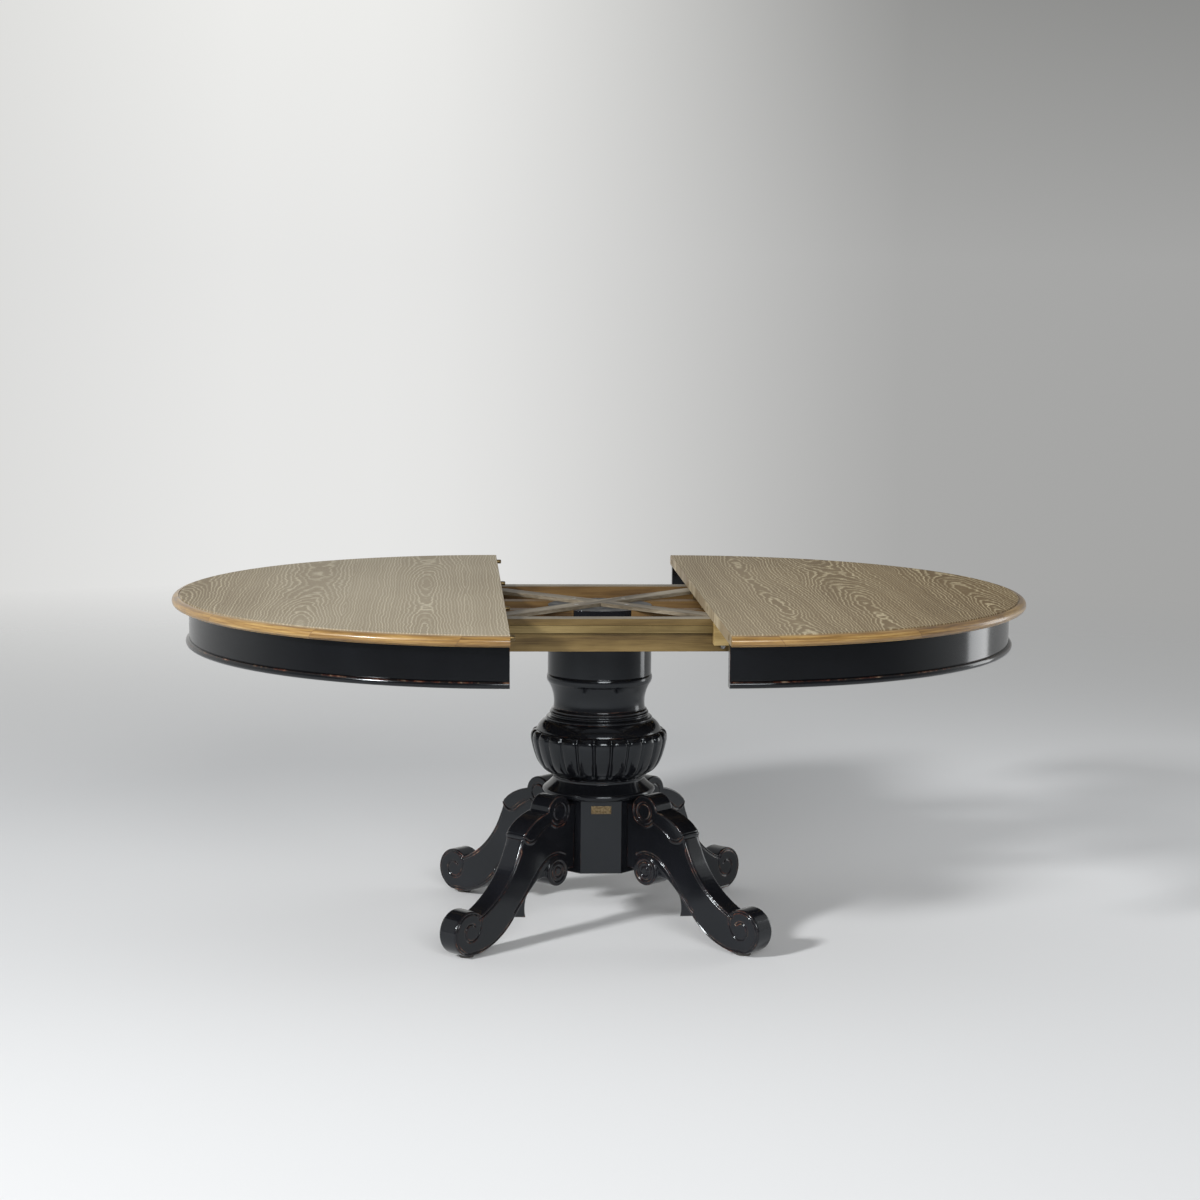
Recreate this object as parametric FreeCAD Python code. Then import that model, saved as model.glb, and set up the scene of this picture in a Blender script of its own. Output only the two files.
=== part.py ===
import FreeCAD, Part

import math
import os

# Round extending pedestal table, modelled open, in millimetres.
# +Z is up, the halves of the top slide apart along X, and the front of the table faces -Y.
# The origin is on the floor, on the axis of the pedestal.

Vector = FreeCAD.Vector
ORIGIN = Vector(0, 0, 0)
X_AXIS = Vector(1, 0, 0)
Y_AXIS = Vector(0, 1, 0)
Z_AXIS = Vector(0, 0, 1)
SIDES = (-1, 1)

# Whole table
table_height = 780.0
top_diameter = 1500.0
leaf_gap = 450.0

# Top panel, edge moulding and apron of each half
top_thickness = 24.0
edge_width = 18.0
edge_step = 1.8
edge_foot = 9.0
edge_shelf = 6.0
edge_bulge_height = 11.0
apron_setback = 38.0
apron_thickness = 30.0
apron_height = 90.0
bead_height = 16.0
bead_projection = 8.0
glue_block_width = 70.0
glue_block_depth = 30.0
glue_block_height = 55.0
glue_block_angles = (-72, -36, 0, 36, 72)

# Alignment pins in the left half and their bushes in the right half
pin_diameter = 10.0
pin_shank_diameter = 12.0
pin_length = 36.0
pin_projection = 12.0
pin_edge_inset = 45.0
pin_tip_chamfer = 1.5
pin_place_shares = (-1.5, -0.5, 0.5, 1.5)
bush_diameter = 15.0
bush_length = 22.0
socket_clearance = 0.25

# Sliding frame: rails, guide strips, cross members, bearers and braces
rail_spacing = 540.0
rail_thickness = 42.0
rail_height = 72.0
rail_length = 1000.0
running_gap = 0.3
strip_height = 16.0
strip_drop = 14.0
strip_projection = 10.0
strip_housing = 6.0
cross_spacing = 480.0
cross_thickness = 26.0
cross_height = 58.0
bearer_spacing = 200.0
bearer_thickness = 40.0
bearer_height = 56.0
brace_width = 45.0
brace_thickness = 8.0
brace_drop = 1.0

# Runners under each half, and the stop pins that end their travel
runner_width = 36.0
runner_height = 54.0
runner_setback = 5.0
runner_end_setback = 307.0
stop_pin_diameter = 8.0
stop_pin_projection = 7.0
stop_pin_inset = 20.0
stop_pin_depth = 24.0
stop_slot_clearance = 1.0

# Wood screws
screw_diameter = 5.0
screw_head_diameter = 10.0
screw_head_height = 3.0
screw_clearance = 0.1
runner_screw_bite = 14.0
runner_screw_shares = (0.1, 0.5, 0.9)
runner_screw_inset = 9.0
frame_screw_bite = 36.0
frame_screw_pitch = 16.0
frame_screw_rise = 11.0
brace_screw_bite = 24.0
brace_screw_reach = 80.0

# Lever catches that lock the closed halves together
catch_offset = 480.0
catch_pivot_setback = 35.0
catch_keeper_setback = 28.0
catch_pin_diameter = 8.0
catch_pin_bite = 12.0
catch_head_diameter = 14.0
catch_head_height = 2.5
catch_boss_height = 3.0
lever_width = 16.0
lever_thickness = 3.0
lever_tip = 10.0
lever_play = 0.1
lever_slot_clearance = 1.2

# Octagonal block at the foot of the pedestal
block_width = 224.0
block_floor = 140.0
block_height = 169.0
block_wall = 38.0
block_cap = 44.0
plate_width = 46.0
plate_height = 18.0
plate_thickness = 1.5
plate_drop = 12.0
plate_pin_diameter = 2.4
plate_pin_length = 8.0
plate_pin_inset = 4.0

# Turned pieces of the pedestal, from the block upwards
ring_diameter = 261.0
ring_height = 40.0
bowl_diameter = 316.0
bowl_height = 109.0
lobe_count = 24
lobe_depth = 7.0
shoulder_diameter = 288.0
shoulder_height = 53.0
drum_diameter = 239.0
neck_height = 60.0
rim_height = 18.0
rim_projection = 2.3

# Tie rod through the turned pieces
rod_diameter = 12.0
rod_clearance = 0.5
rod_spare = 4.0
rod_nut_width = 19.0
rod_nut_height = 10.0
rod_washer_diameter = 36.0
rod_washer_thickness = 3.0
rod_pocket_clearance = 4.0

# Scroll legs
leg_thickness = 52.0
leg_reach = 385.0
leg_rise = 326.0
leg_seat_drop = 9.0
leg_edge_radius = 5.0
upper_volute_offset = 34.0
upper_volute_radius = 37.0
upper_notch_angle = 10.0
lower_volute_setout = 56.0
lower_volute_height = 152.0
lower_volute_radius = 34.0
lower_notch_angle = -25.0
foot_radius = 51.5
foot_centre_height = 60.0
foot_start_radius = 46.5
foot_end_radius = 53.0
foot_start_angle = 130.0
foot_sole_setback = 9.0
foot_sole_level = 5.0
waist_shares = (0.442, 0.767)
spur_root_shares = (0.504, 0.212)
spur_tip_shares = (0.405, 0.190)
leaf_middle_shares = (0.322, 0.724)
leaf_bulge_share = 0.08
leaf_corner_angle = -50.0
leaf_lobe_angle = -107.0
cap_relief = 3.0
cap_edge_radius = 2.4
leg_sweep_share = 0.12
arch_rise_share = 0.308
carving_radius = 2.4
carving_half_turns = 3
foot_eye_radius = 20.0
upper_eye_radius = 14.0
lower_eye_radius = 12.0
volute_rim = 8.0
line_end_angle = 50.0
line_bulge_share = 0.038
band_step = 2.0
spur_start_share = 1.3
board_middle_shares = (0.50, 0.45)
leg_names = ("back_right_leg", "back_left_leg", "front_left_leg", "front_right_leg")

# Leg studs with nuts and washers, and foot glides
stud_diameter = 10.0
stud_clearance = 0.1
stud_bite = 60.0
stud_spare = 4.0
stud_rises = (45.0, 100.0)
stud_nut_width = 17.0
stud_nut_height = 8.0
stud_washer_diameter = 24.0
stud_washer_thickness = 2.0
glide_diameter = 32.0
glide_height = 8.0

# Cuts run past the faces that they open by this much
overrun = 2.0

# Levels and faces worked out from the sizes above
half_gap = leaf_gap / 2
rim_radius = top_diameter / 2
panel_radius = rim_radius - edge_width
panel_floor = table_height - top_thickness
pin_level = panel_floor + top_thickness / 2
pin_pitch = 2 * (panel_radius - pin_edge_inset) / (len(pin_place_shares) - 1)
apron_radius = rim_radius - apron_setback
apron_inner_radius = apron_radius - apron_thickness
apron_floor = panel_floor - apron_height
rail_top = panel_floor - running_gap
rail_floor = rail_top - rail_height
rail_inner = rail_spacing / 2
rail_outer = rail_inner + rail_thickness
strip_top = rail_top - strip_drop
strip_floor = strip_top - strip_height
strip_outer = rail_outer + strip_projection
cross_inner = cross_spacing / 2
cross_outer = cross_inner + cross_thickness
cross_middle = (cross_inner + cross_outer) / 2
brace_top = rail_top - brace_drop
drum_top = brace_top - brace_thickness
bearer_outer = bearer_spacing / 2
bearer_inner = bearer_outer - bearer_thickness
bearer_middle = (bearer_inner + bearer_outer) / 2
runner_inner = rail_outer + running_gap
runner_outer = runner_inner + runner_width
runner_floor = panel_floor - runner_height
runner_length = panel_radius - runner_end_setback - runner_setback
stop_pin_place = rail_length / 2 - stop_pin_inset
stop_level = (strip_top + strip_floor) / 2
block_face = block_width / 2
block_top = block_floor + block_height
hollow_face = block_face - block_wall
hollow_top = block_top - block_cap
ring_top = block_top + ring_height
bowl_top = ring_top + bowl_height
shoulder_top = bowl_top + shoulder_height
drum_radius = drum_diameter / 2
rod_hole_radius = rod_diameter / 2 + rod_clearance
rod_pocket_depth = rod_washer_thickness + rod_nut_height + rod_spare
lever_reach = catch_pivot_setback + catch_keeper_setback
lever_room = lever_thickness + lever_play + lever_play

# Outlines of the turned pieces, as shares of their own radius and height.
# A step with one point is a straight line to it, a step with two is an arc through the first to the second.
ring_shares = (
    ((0.955, 0.0),),
    ((1.0, 0.16), (0.968, 0.40)),
    ((0.862, 0.68), (0.806, 0.88)),
    ((0.806, 1.0),),
)
shoulder_shares = (
    ((1.0, 0.0),),
    ((0.993, 0.057),),
    ((0.951, 0.264), (0.868, 0.453)),
    ((0.840, 0.472),),
    ((0.853, 0.53), (0.836, 0.594)),
    ((0.806, 0.604),),
    ((0.778, 0.65), (0.780, 0.70)),
    ((0.795, 0.755), (0.774, 0.811)),
    ((0.767, 0.830),),
    ((0.767, 0.900),),
    ((0.742, 0.935), (0.733, 1.0)),
)
neck_shares = (
    ((0.884, 0.0),),
    ((0.881, 0.34), (0.980, 0.94)),
    ((1.0, 1.0),),
)
# Height, radius and groove depth of the lobed sections of the bowl
bowl_shares = (
    (0.0, 0.66, 0.25),
    (0.064, 0.682, 0.4),
    (0.12, 0.723, 0.6),
    (0.20, 0.787, 0.8),
    (0.33, 0.863, 1.0),
    (0.45, 0.921, 1.0),
    (0.57, 0.962, 1.0),
    (0.67, 0.990, 1.0),
    (0.77, 1.0, 1.0),
    (0.88, 0.994, 0.95),
    (0.936, 0.977, 0.85),
    (0.975, 0.950, 0.7),
    (1.0, 0.905, 0.4),
)


def box(x_limits, y_limits, z_limits):
    """A block between pairs of limits, given in either order."""
    x_low, x_high = sorted(x_limits)
    y_low, y_high = sorted(y_limits)
    z_low, z_high = sorted(z_limits)
    corner = Vector(x_low, y_low, z_low)
    return Part.makeBox(x_high - x_low, y_high - y_low, z_high - z_low, corner)


def rod(radius, start, end):
    """A round bar from one point to another."""
    run = end - start
    return Part.makeCylinder(radius, run.Length, start, run)


def prism(side_count, apothem, start, end, first_angle):
    """A regular prism along Z between two levels, by its distance across a flat."""
    corner_radius = apothem / math.cos(math.pi / side_count)
    corners = []
    for index in range(side_count + 1):
        angle = math.radians(first_angle) + 2 * math.pi * index / side_count
        corners.append(Vector(corner_radius * math.cos(angle), corner_radius * math.sin(angle), start))
    face = Part.Face(Part.makePolygon(corners))
    return face.extrude(Z_AXIS * (end - start))


def washer(outer_radius, hole_radius, start, end):
    """A flat ring between two levels on the Z axis."""
    ring = rod(outer_radius, Z_AXIS * start, Z_AXIS * end)
    return ring.cut(rod(hole_radius, Z_AXIS * start, Z_AXIS * end))


def nut(width, hole_radius, start, end):
    """A hexagon nut between two levels on the Z axis."""
    hexagon = prism(6, width / 2, start, end, 0)
    return hexagon.cut(rod(hole_radius, Z_AXIS * start, Z_AXIS * end))


def turned(start, shape, angle):
    """A face in the XZ plane, turned about Z from an angle through another."""
    solid = shape.revolve(ORIGIN, Z_AXIS, angle)
    solid.rotate(ORIGIN, Z_AXIS, start)
    return solid


def stepped_edges(points_of_steps):
    """Edges of an outline: a step of one point is a line, a step of two is an arc."""
    edges = []
    here = points_of_steps[0][-1]
    for step in points_of_steps[1:]:
        if len(step) == 1:
            edges.append(Part.makeLine(here, step[0]))
        else:
            edges.append(Part.Arc(here, step[0], step[1]).toShape())
        here = step[-1]
    return edges


def turning(outline, top, bottom):
    """A solid turned about Z below an outline that climbs from one level to another."""
    edges = stepped_edges(outline)
    first = outline[0][-1]
    last = outline[-1][-1]
    corners = [last, Vector(0, 0, top), Vector(0, 0, bottom), first]
    for start, end in zip(corners, corners[1:]):
        edges.append(Part.makeLine(start, end))
    return Part.Face(Part.Wire(edges)).revolve(ORIGIN, Z_AXIS, 360)


def outline_of(shares, radius, bottom, height):
    """Points of a turned outline from its shares."""
    steps = []
    for step in shares:
        steps.append([Vector(out * radius, 0, bottom + up * height) for out, up in step])
    return steps


def screw(head, direction, length, gap=0.0):
    """A countersunk screw from the middle of its head, or its hole when given a gap."""
    cone = Part.makeCone(
        screw_head_diameter / 2 + gap,
        screw_diameter / 2 + gap,
        screw_head_height,
        head,
        direction,
    )
    shank = rod(screw_diameter / 2 + gap, head, head + direction * (length + gap))
    return cone.fuse(shank).removeSplitter()


def save(name, *solids):
    """Writes one node, as a single solid or a group of alike solids."""
    shape = solids[0] if len(solids) == 1 else Part.makeCompound(list(solids))
    shape.exportStep("parts/" + name + ".step")
    print(name, len(shape.Solids), shape.isValid(), round(shape.Volume))


def to_right(shape):
    """Places a piece of the right half from its own frame, where the cut is at X = 0."""
    placed = shape.copy()
    placed.translate(X_AXIS * half_gap)
    return placed


def to_left(shape):
    """Places the same piece in the left half, turned half a turn about the pedestal."""
    placed = shape.copy()
    placed.rotate(ORIGIN, Z_AXIS, 180)
    placed.translate(X_AXIS * -half_gap)
    return placed


# Pedestal: block and turned pieces


def central_block():
    """The hollow octagonal block, open below, with holes for the rod, the studs and the plate pins."""
    octagon = prism(8, block_face, block_floor, block_top, 22.5)
    hollow = prism(8, hollow_face, block_floor - overrun, hollow_top, 22.5)
    rod_hole = rod(rod_hole_radius, Z_AXIS * (hollow_top - overrun), Z_AXIS * (block_top + overrun))
    tools = [hollow, rod_hole]
    for angle in leg_angles():
        for stud in leg_studs(stud_clearance):
            tools.append(around(stud, angle))
    tools.extend(plate_pins(stud_clearance))
    return octagon.cut(tools)


def plate_pins(gap=0.0):
    """The two pins of the blank plate, through it into the front of the block."""
    level = block_top - plate_drop - plate_height / 2
    pins = []
    for side in SIDES:
        place = side * (plate_width / 2 - plate_pin_inset)
        front = Vector(place, -block_face - plate_thickness, level)
        back = front + Y_AXIS * (plate_pin_length + gap)
        pins.append(rod(plate_pin_diameter / 2 + gap, front, back))
    return pins


def blank_plate():
    """The plain plate on the front of the block."""
    plate = box(
        (-plate_width / 2, plate_width / 2),
        (-block_face - plate_thickness, -block_face),
        (block_top - plate_drop - plate_height, block_top - plate_drop),
    )
    return plate.cut(plate_pins(stud_clearance))


def drilled(piece, bottom, top):
    """A turned piece with the hole for the tie rod."""
    return piece.cut(rod(rod_hole_radius, Z_AXIS * (bottom - overrun), Z_AXIS * (top + overrun)))


def base_ring():
    """The ogee ring between the block and the bowl."""
    outline = outline_of(ring_shares, ring_diameter / 2, block_top, ring_height)
    return drilled(turning(outline, ring_top, block_top), block_top, ring_top)


def lobed_section(radius, depth, level):
    """One level of the bowl: an arc for each lobe, with a groove on both sides of it."""
    step = 2 * math.pi / lobe_count
    edges = []
    for index in range(lobe_count):
        middle = index * step
        points = []
        for turn, reach in ((-step / 2, radius - depth), (0, radius), (step / 2, radius - depth)):
            angle = middle + turn
            points.append(Vector(reach * math.cos(angle), reach * math.sin(angle), level))
        edges.append(Part.Arc(*points).toShape())
    return Part.Wire(edges)


def gadroon_bowl():
    """The lobed bowl, with one lobe facing the front."""
    sections = []
    for up, out, groove in bowl_shares:
        level = ring_top + up * bowl_height
        sections.append(lobed_section(out * bowl_diameter / 2, groove * lobe_depth, level))
    return drilled(Part.makeLoft(sections, True), ring_top, bowl_top)


def shoulder():
    """The stepped shoulder above the bowl."""
    outline = outline_of(shoulder_shares, shoulder_diameter / 2, bowl_top, shoulder_height)
    return drilled(turning(outline, shoulder_top, bowl_top), bowl_top, shoulder_top)


def neck_and_drum():
    """The hollow-sided neck and the drum that carries the frame, with a pocket for the upper nut."""
    neck_top = shoulder_top + neck_height
    rim_top = neck_top + rim_height
    outline = outline_of(neck_shares, drum_radius, shoulder_top, neck_height)
    rim_middle = Vector(drum_radius + rim_projection, 0, (neck_top + rim_top) / 2)
    outline.append([rim_middle, Vector(drum_radius, 0, rim_top)])
    outline.append([Vector(drum_radius, 0, drum_top)])
    drum = drilled(turning(outline, drum_top, shoulder_top), shoulder_top, drum_top)
    pocket_radius = rod_washer_diameter / 2 + rod_pocket_clearance
    pocket = rod(pocket_radius, Z_AXIS * (drum_top - rod_pocket_depth), Z_AXIS * (drum_top + overrun))
    return drum.cut([pocket] + drum_brace_screws(screw_clearance))


def tie_rod_pieces():
    """The tie rod, and a washer and a nut at each of its ends."""
    upper_seat = drum_top - rod_pocket_depth
    lower_nut_floor = hollow_top - rod_washer_thickness - rod_nut_height
    bar = rod(rod_diameter / 2, Z_AXIS * (lower_nut_floor - rod_spare), Z_AXIS * (drum_top - rod_spare / 2))
    hole = rod_diameter / 2
    washers = []
    nuts = []
    for seat, direction in ((hollow_top, -1), (upper_seat, 1)):
        washer_end = seat + direction * rod_washer_thickness
        nut_end = washer_end + direction * rod_nut_height
        washers.append(washer(rod_washer_diameter / 2, hole + screw_clearance, *sorted((seat, washer_end))))
        nuts.append(nut(rod_nut_width, hole, *sorted((washer_end, nut_end))))
    return bar, washers, nuts


# Pedestal: scroll legs, drawn in the XZ plane with the axis of the pedestal at X = 0


def leg_angles():
    """Directions of the four legs, on the diagonals."""
    return [45 + 90 * index for index in range(len(leg_names))]


def around(shape, angle):
    """A copy turned about the axis of the pedestal."""
    placed = shape.copy()
    placed.rotate(ORIGIN, Z_AXIS, angle)
    return placed


def leg_point(shares):
    """A point of the leg from its shares of the reach past the block and of the rise."""
    return Vector(block_face + shares[0] * leg_reach, 0, shares[1] * leg_rise)


def on_circle(centre, radius, angle):
    """A point at an angle in the plane of the leg, from outwards towards up."""
    turn = math.radians(angle)
    return centre + Vector(radius * math.cos(turn), 0, radius * math.sin(turn))


def bowed(start, end, rise_share):
    """An arc that leaves its chord by a share of its length, to the left of the way it runs."""
    chord = end - start
    left = Vector(-chord.z, 0, chord.x)
    return Part.Arc(start, (start + end) / 2 + left * rise_share, end).toShape()


upper_centre = Vector(ring_diameter / 2 + upper_volute_offset, 0, leg_rise - upper_volute_radius)
lower_centre = Vector(block_face + lower_volute_setout, 0, lower_volute_height)
foot_centre = Vector(block_face + leg_reach - foot_radius, 0, foot_centre_height)
foot_sole = Vector(foot_centre.x - foot_sole_setback, 0, foot_sole_level)


def tangent_arc(start, heading, end):
    """An arc that leaves a point on a heading and ends at another point, and its last heading."""
    chord = end - start
    chord_angle = math.degrees(math.atan2(chord.z, chord.x))
    rise_share = math.tan(math.radians(heading - chord_angle) / 2) / 2
    return bowed(start, end, rise_share), 2 * chord_angle - heading


def foot_edges():
    """The outer edge of the foot scroll: a half turn that widens, then an arc down to the sole."""
    start = on_circle(foot_centre, foot_start_radius, foot_start_angle)
    side = on_circle(foot_centre, foot_end_radius, foot_start_angle - 180)
    half_turn = bowed(start, side, 1 / 2)
    under, heading = tangent_arc(side, foot_start_angle - 270, foot_sole)
    return [half_turn, under], start, heading


def rounded_slab(rounded, plain, thickness, radius):
    """A closed outline thickened evenly to both sides, with the sides of some of its edges rounded."""
    face = Part.Face(Part.Wire(Part.__sortEdges__(rounded + plain)))
    half = Y_AXIS * (thickness / 2)
    face.translate(-half)
    solid = face.extrude(half + half)
    picked = []
    for edge in rounded:
        for place in (edge.CenterOfMass - half, edge.CenterOfMass + half):
            picked.append(min(solid.Edges, key=lambda other: (other.CenterOfMass - place).Length))
    return solid.makeFillet(radius, picked)


def leg_foot():
    """The scroll at the end of the leg."""
    rounded, start, heading = foot_edges()
    plain = [Part.makeLine(foot_sole, foot_centre), Part.makeLine(foot_centre, start)]
    return rounded_slab(rounded, plain, leg_thickness, leg_edge_radius)


def leg_body():
    """The S-shaped board of the leg, whose ends run into the scrolls."""
    seat_top = block_top - leg_seat_drop
    waist = leg_point(waist_shares)
    scroll, scroll_start, heading = foot_edges()
    sweep_end = on_circle(foot_centre, foot_start_radius - leg_edge_radius, foot_start_angle)
    spur_root = leg_point(spur_root_shares)
    line_end = on_circle(lower_centre, lower_volute_radius - leg_edge_radius, line_end_angle)
    sole, heading = tangent_arc(foot_sole, heading, spur_root)
    front = bowed(waist, sweep_end, -leg_sweep_share)
    rounded = [front, sole, bowed(spur_root, line_end, -line_bulge_share)]
    corners = [
        line_end,
        lower_centre,
        Vector(block_face, 0, lower_centre.z),
        Vector(block_face, 0, seat_top),
        Vector(upper_centre.x, 0, seat_top),
        waist,
    ]
    plain = [Part.makeLine(*pair) for pair in zip(corners, corners[1:])]
    plain += [Part.makeLine(sweep_end, foot_centre), Part.makeLine(foot_centre, foot_sole)]
    return rounded_slab(rounded, plain, leg_thickness, leg_edge_radius)


def leg_arch():
    """The thinner band under the board, from the spur to the lower volute."""
    spur_root = leg_point(spur_root_shares)
    spur_tip = leg_point(spur_tip_shares)
    spur_start = spur_tip + (spur_root - spur_tip) * spur_start_share
    arch_end = on_circle(lower_centre, lower_volute_radius - leg_edge_radius, lower_notch_angle)
    rounded = [bowed(spur_tip, arch_end, -arch_rise_share)]
    above_volute = lower_centre + Z_AXIS * (lower_volute_radius + lower_volute_radius)
    corners = [arch_end, lower_centre, above_volute, leg_point(board_middle_shares), spur_start, spur_tip]
    plain = [Part.makeLine(*pair) for pair in zip(corners, corners[1:])]
    return rounded_slab(rounded, plain, leg_thickness - band_step - band_step, leg_edge_radius)


def leg_leaf():
    """The raised leaf that runs from the upper volute to the waist."""
    inner_radius = upper_volute_radius - leg_edge_radius
    notch = on_circle(upper_centre, inner_radius, upper_notch_angle)
    corner = on_circle(upper_centre, inner_radius, leaf_corner_angle)
    waist = leg_point(waist_shares) + Vector(cap_relief, 0, 0)
    middle = leg_point(leaf_middle_shares)
    lobe, heading = tangent_arc(waist, leaf_lobe_angle, middle)
    hollow, heading = tangent_arc(middle, heading, corner)
    rounded = [bowed(notch, waist, leaf_bulge_share), lobe, hollow]
    plain = [Part.makeLine(corner, upper_centre), Part.makeLine(upper_centre, notch)]
    return rounded_slab(rounded, plain, leg_thickness + cap_relief + cap_relief, cap_edge_radius)


def volute(centre, radius):
    """A raised disc with rounded rims."""
    half = Y_AXIS * (leg_thickness / 2 + cap_relief)
    disc = rod(radius, centre - half, centre + half)
    return disc.makeFillet(cap_edge_radius, [edge for edge in disc.Edges if edge.Closed])


def spiral_carving(centre, start_radius, end_radius, start_angle, direction, side):
    """A spiral groove of half turns on one side of the leg, drawn in as it goes round."""
    depth = Vector(0, side, 0)
    points = []
    arcs = []
    for index in range(carving_half_turns + 1):
        radius = start_radius + (end_radius - start_radius) * index / carving_half_turns
        points.append(on_circle(centre, radius, start_angle + 180 * index * direction) + depth)
    for index in range(carving_half_turns):
        start, end = points[index], points[index + 1]
        quarter = start_angle + (180 * index + 90) * direction
        middle = on_circle((start + end) / 2, (end - start).Length / 2, quarter)
        arcs.append(Part.Arc(start, middle, end).toShape())
    tangent = on_circle(ORIGIN, 1, start_angle + 90 * direction)
    section = Part.Wire(Part.makeCircle(carving_radius, points[0], tangent))
    return Part.Wire(arcs).makePipeShell([section], True, False)


def leg_carvings():
    """The three spiral grooves on each side of the leg."""
    tools = []
    for side in SIDES:
        flat = side * leg_thickness / 2
        raised = side * (leg_thickness / 2 + cap_relief)
        tools.append(spiral_carving(
            foot_centre, foot_start_radius - volute_rim / 2, foot_eye_radius, foot_start_angle, 1, flat))
        upper_start = upper_volute_radius - volute_rim
        lower_start = lower_volute_radius - volute_rim
        tools.append(spiral_carving(
            upper_centre, upper_start, upper_eye_radius, upper_notch_angle, -1, raised))
        tools.append(spiral_carving(
            lower_centre, lower_start, lower_eye_radius, lower_notch_angle, 1, raised))
    return tools


def leg_studs(gap=0.0):
    """The two studs between the block and a leg, or their holes when given a gap."""
    start = hollow_face - stud_washer_thickness - stud_nut_height - stud_spare
    end = block_face + stud_bite + gap
    studs = []
    for rise in stud_rises:
        level = block_floor + rise
        studs.append(rod(stud_diameter / 2 + gap, Vector(start, 0, level), Vector(end, 0, level)))
    return studs


def on_stud(piece, level):
    """A piece made on the Z axis, laid along a stud of the leg."""
    laid = piece.copy()
    laid.rotate(ORIGIN, Y_AXIS, 90)
    laid.translate(Z_AXIS * level)
    return laid


def leg():
    """One finished leg: its pieces joined, carved, drilled and cut flat over the glide."""
    scrolls = [volute(upper_centre, upper_volute_radius), volute(lower_centre, lower_volute_radius)]
    joined = leg_body().fuse([leg_foot(), leg_arch(), leg_leaf()] + scrolls).removeSplitter()
    below = box(
        (block_face, block_face + leg_reach + leg_reach),
        (-leg_thickness, leg_thickness),
        (-overrun, glide_height),
    )
    return joined.cut(leg_carvings() + leg_studs(stud_clearance) + [below])


def save_legs():
    """The four legs with their fasteners and glides."""
    one_leg = leg()
    washer_end = hollow_face - stud_washer_thickness
    nut_end = washer_end - stud_nut_height
    studs = []
    washers = []
    nuts = []
    glides = []
    for name, angle in zip(leg_names, leg_angles()):
        save(name, around(one_leg, angle))
        studs.extend(around(stud, angle) for stud in leg_studs())
        for rise in stud_rises:
            level = block_floor + rise
            hole_radius = stud_diameter / 2 + stud_clearance
            disc = washer(stud_washer_diameter / 2, hole_radius, washer_end, hollow_face)
            washers.append(around(on_stud(disc, level), angle))
            hexagon = nut(stud_nut_width, stud_diameter / 2, nut_end, washer_end)
            nuts.append(around(on_stud(hexagon, level), angle))
        foot = Vector(foot_sole.x, 0, 0)
        glides.append(around(rod(glide_diameter / 2, foot, foot + Z_AXIS * glide_height), angle))
    save("leg_studs", *studs)
    save("leg_washers", *washers)
    save("leg_nuts", *nuts)
    save("foot_glides", *glides)


# Sliding frame on the drum


def frame_rail(side):
    """A rail along X with a housing for its guide strip and holes for its screws and stop pins."""
    rail = box(
        (-rail_length / 2, rail_length / 2),
        (side * rail_inner, side * rail_outer),
        (rail_floor, rail_top),
    )
    housing = box(
        (-rail_length / 2 - overrun, rail_length / 2 + overrun),
        (side * (rail_outer - strip_housing), side * (rail_outer + overrun)),
        (strip_floor, strip_top),
    )
    return rail.cut([housing] + rail_screws(side, screw_clearance) + stop_pins(side))


def guide_strip(side):
    """The light strip let into the outer face of a rail."""
    strip = box(
        (-rail_length / 2, rail_length / 2),
        (side * (rail_outer - strip_housing), side * strip_outer),
        (strip_floor, strip_top),
    )
    return strip.cut(stop_pins(side))


def stop_pins(side):
    """The two pins near the ends of a guide strip that stop the runners."""
    pins = []
    for end in SIDES:
        outer = Vector(end * stop_pin_place, side * (strip_outer + stop_pin_projection), stop_level)
        inner = outer - Y_AXIS * (side * (stop_pin_projection + stop_pin_depth))
        pins.append(rod(stop_pin_diameter / 2, inner, outer))
    return pins


def rail_screws(side, gap=0.0):
    """The screws through a rail into the ends of the cross members."""
    screws = []
    for end in SIDES:
        for index in range(2):
            level = rail_floor + frame_screw_rise + index * frame_screw_pitch
            head = Vector(end * cross_middle, side * rail_outer, level)
            screws.append(screw(head, Y_AXIS * -side, rail_thickness + frame_screw_bite, gap))
    return screws


def bearer_screws(end, gap=0.0):
    """The screws through a cross member into the ends of its bearers."""
    screws = []
    for side in SIDES:
        head = Vector(end * cross_outer, side * bearer_middle, drum_top - bearer_height / 2)
        screws.append(screw(head, X_AXIS * -end, cross_thickness + frame_screw_bite, gap))
    return screws


def cross_member(end):
    """A cross member between the rails, under the ends of the braces."""
    member = box(
        (end * cross_inner, end * cross_outer),
        (-rail_inner, rail_inner),
        (drum_top - cross_height, drum_top),
    )
    tools = bearer_screws(end, screw_clearance) + end_brace_screws(screw_clearance)
    for side in SIDES:
        tools.extend(rail_screws(side, screw_clearance))
    return member.cut(tools)


def bearers(end):
    """The two bearers from a cross member to the drum, coped to its side."""
    drum = rod(drum_radius, Z_AXIS * (drum_top - bearer_height - overrun), Z_AXIS * (drum_top + overrun))
    pair = []
    for side in SIDES:
        bearer = box(
            (0, end * cross_inner),
            (side * bearer_inner, side * bearer_outer),
            (drum_top - bearer_height, drum_top),
        )
        pair.append(bearer.cut([drum] + bearer_screws(end, screw_clearance)))
    return pair


def brace_direction(slant):
    """The way a brace runs, from the axis to the middle of a cross member beside the rail."""
    way = Vector(cross_middle, slant * (rail_inner - brace_width / 2), 0)
    return way.normalize()


def screws_along_braces(reaches, gap):
    """Screws down through both braces at given distances from the axis."""
    screws = []
    for slant in SIDES:
        for reach in reaches:
            head = brace_direction(slant) * reach + Z_AXIS * brace_top
            screws.append(screw(head, -Z_AXIS, brace_thickness + brace_screw_bite, gap))
    return screws


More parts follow.
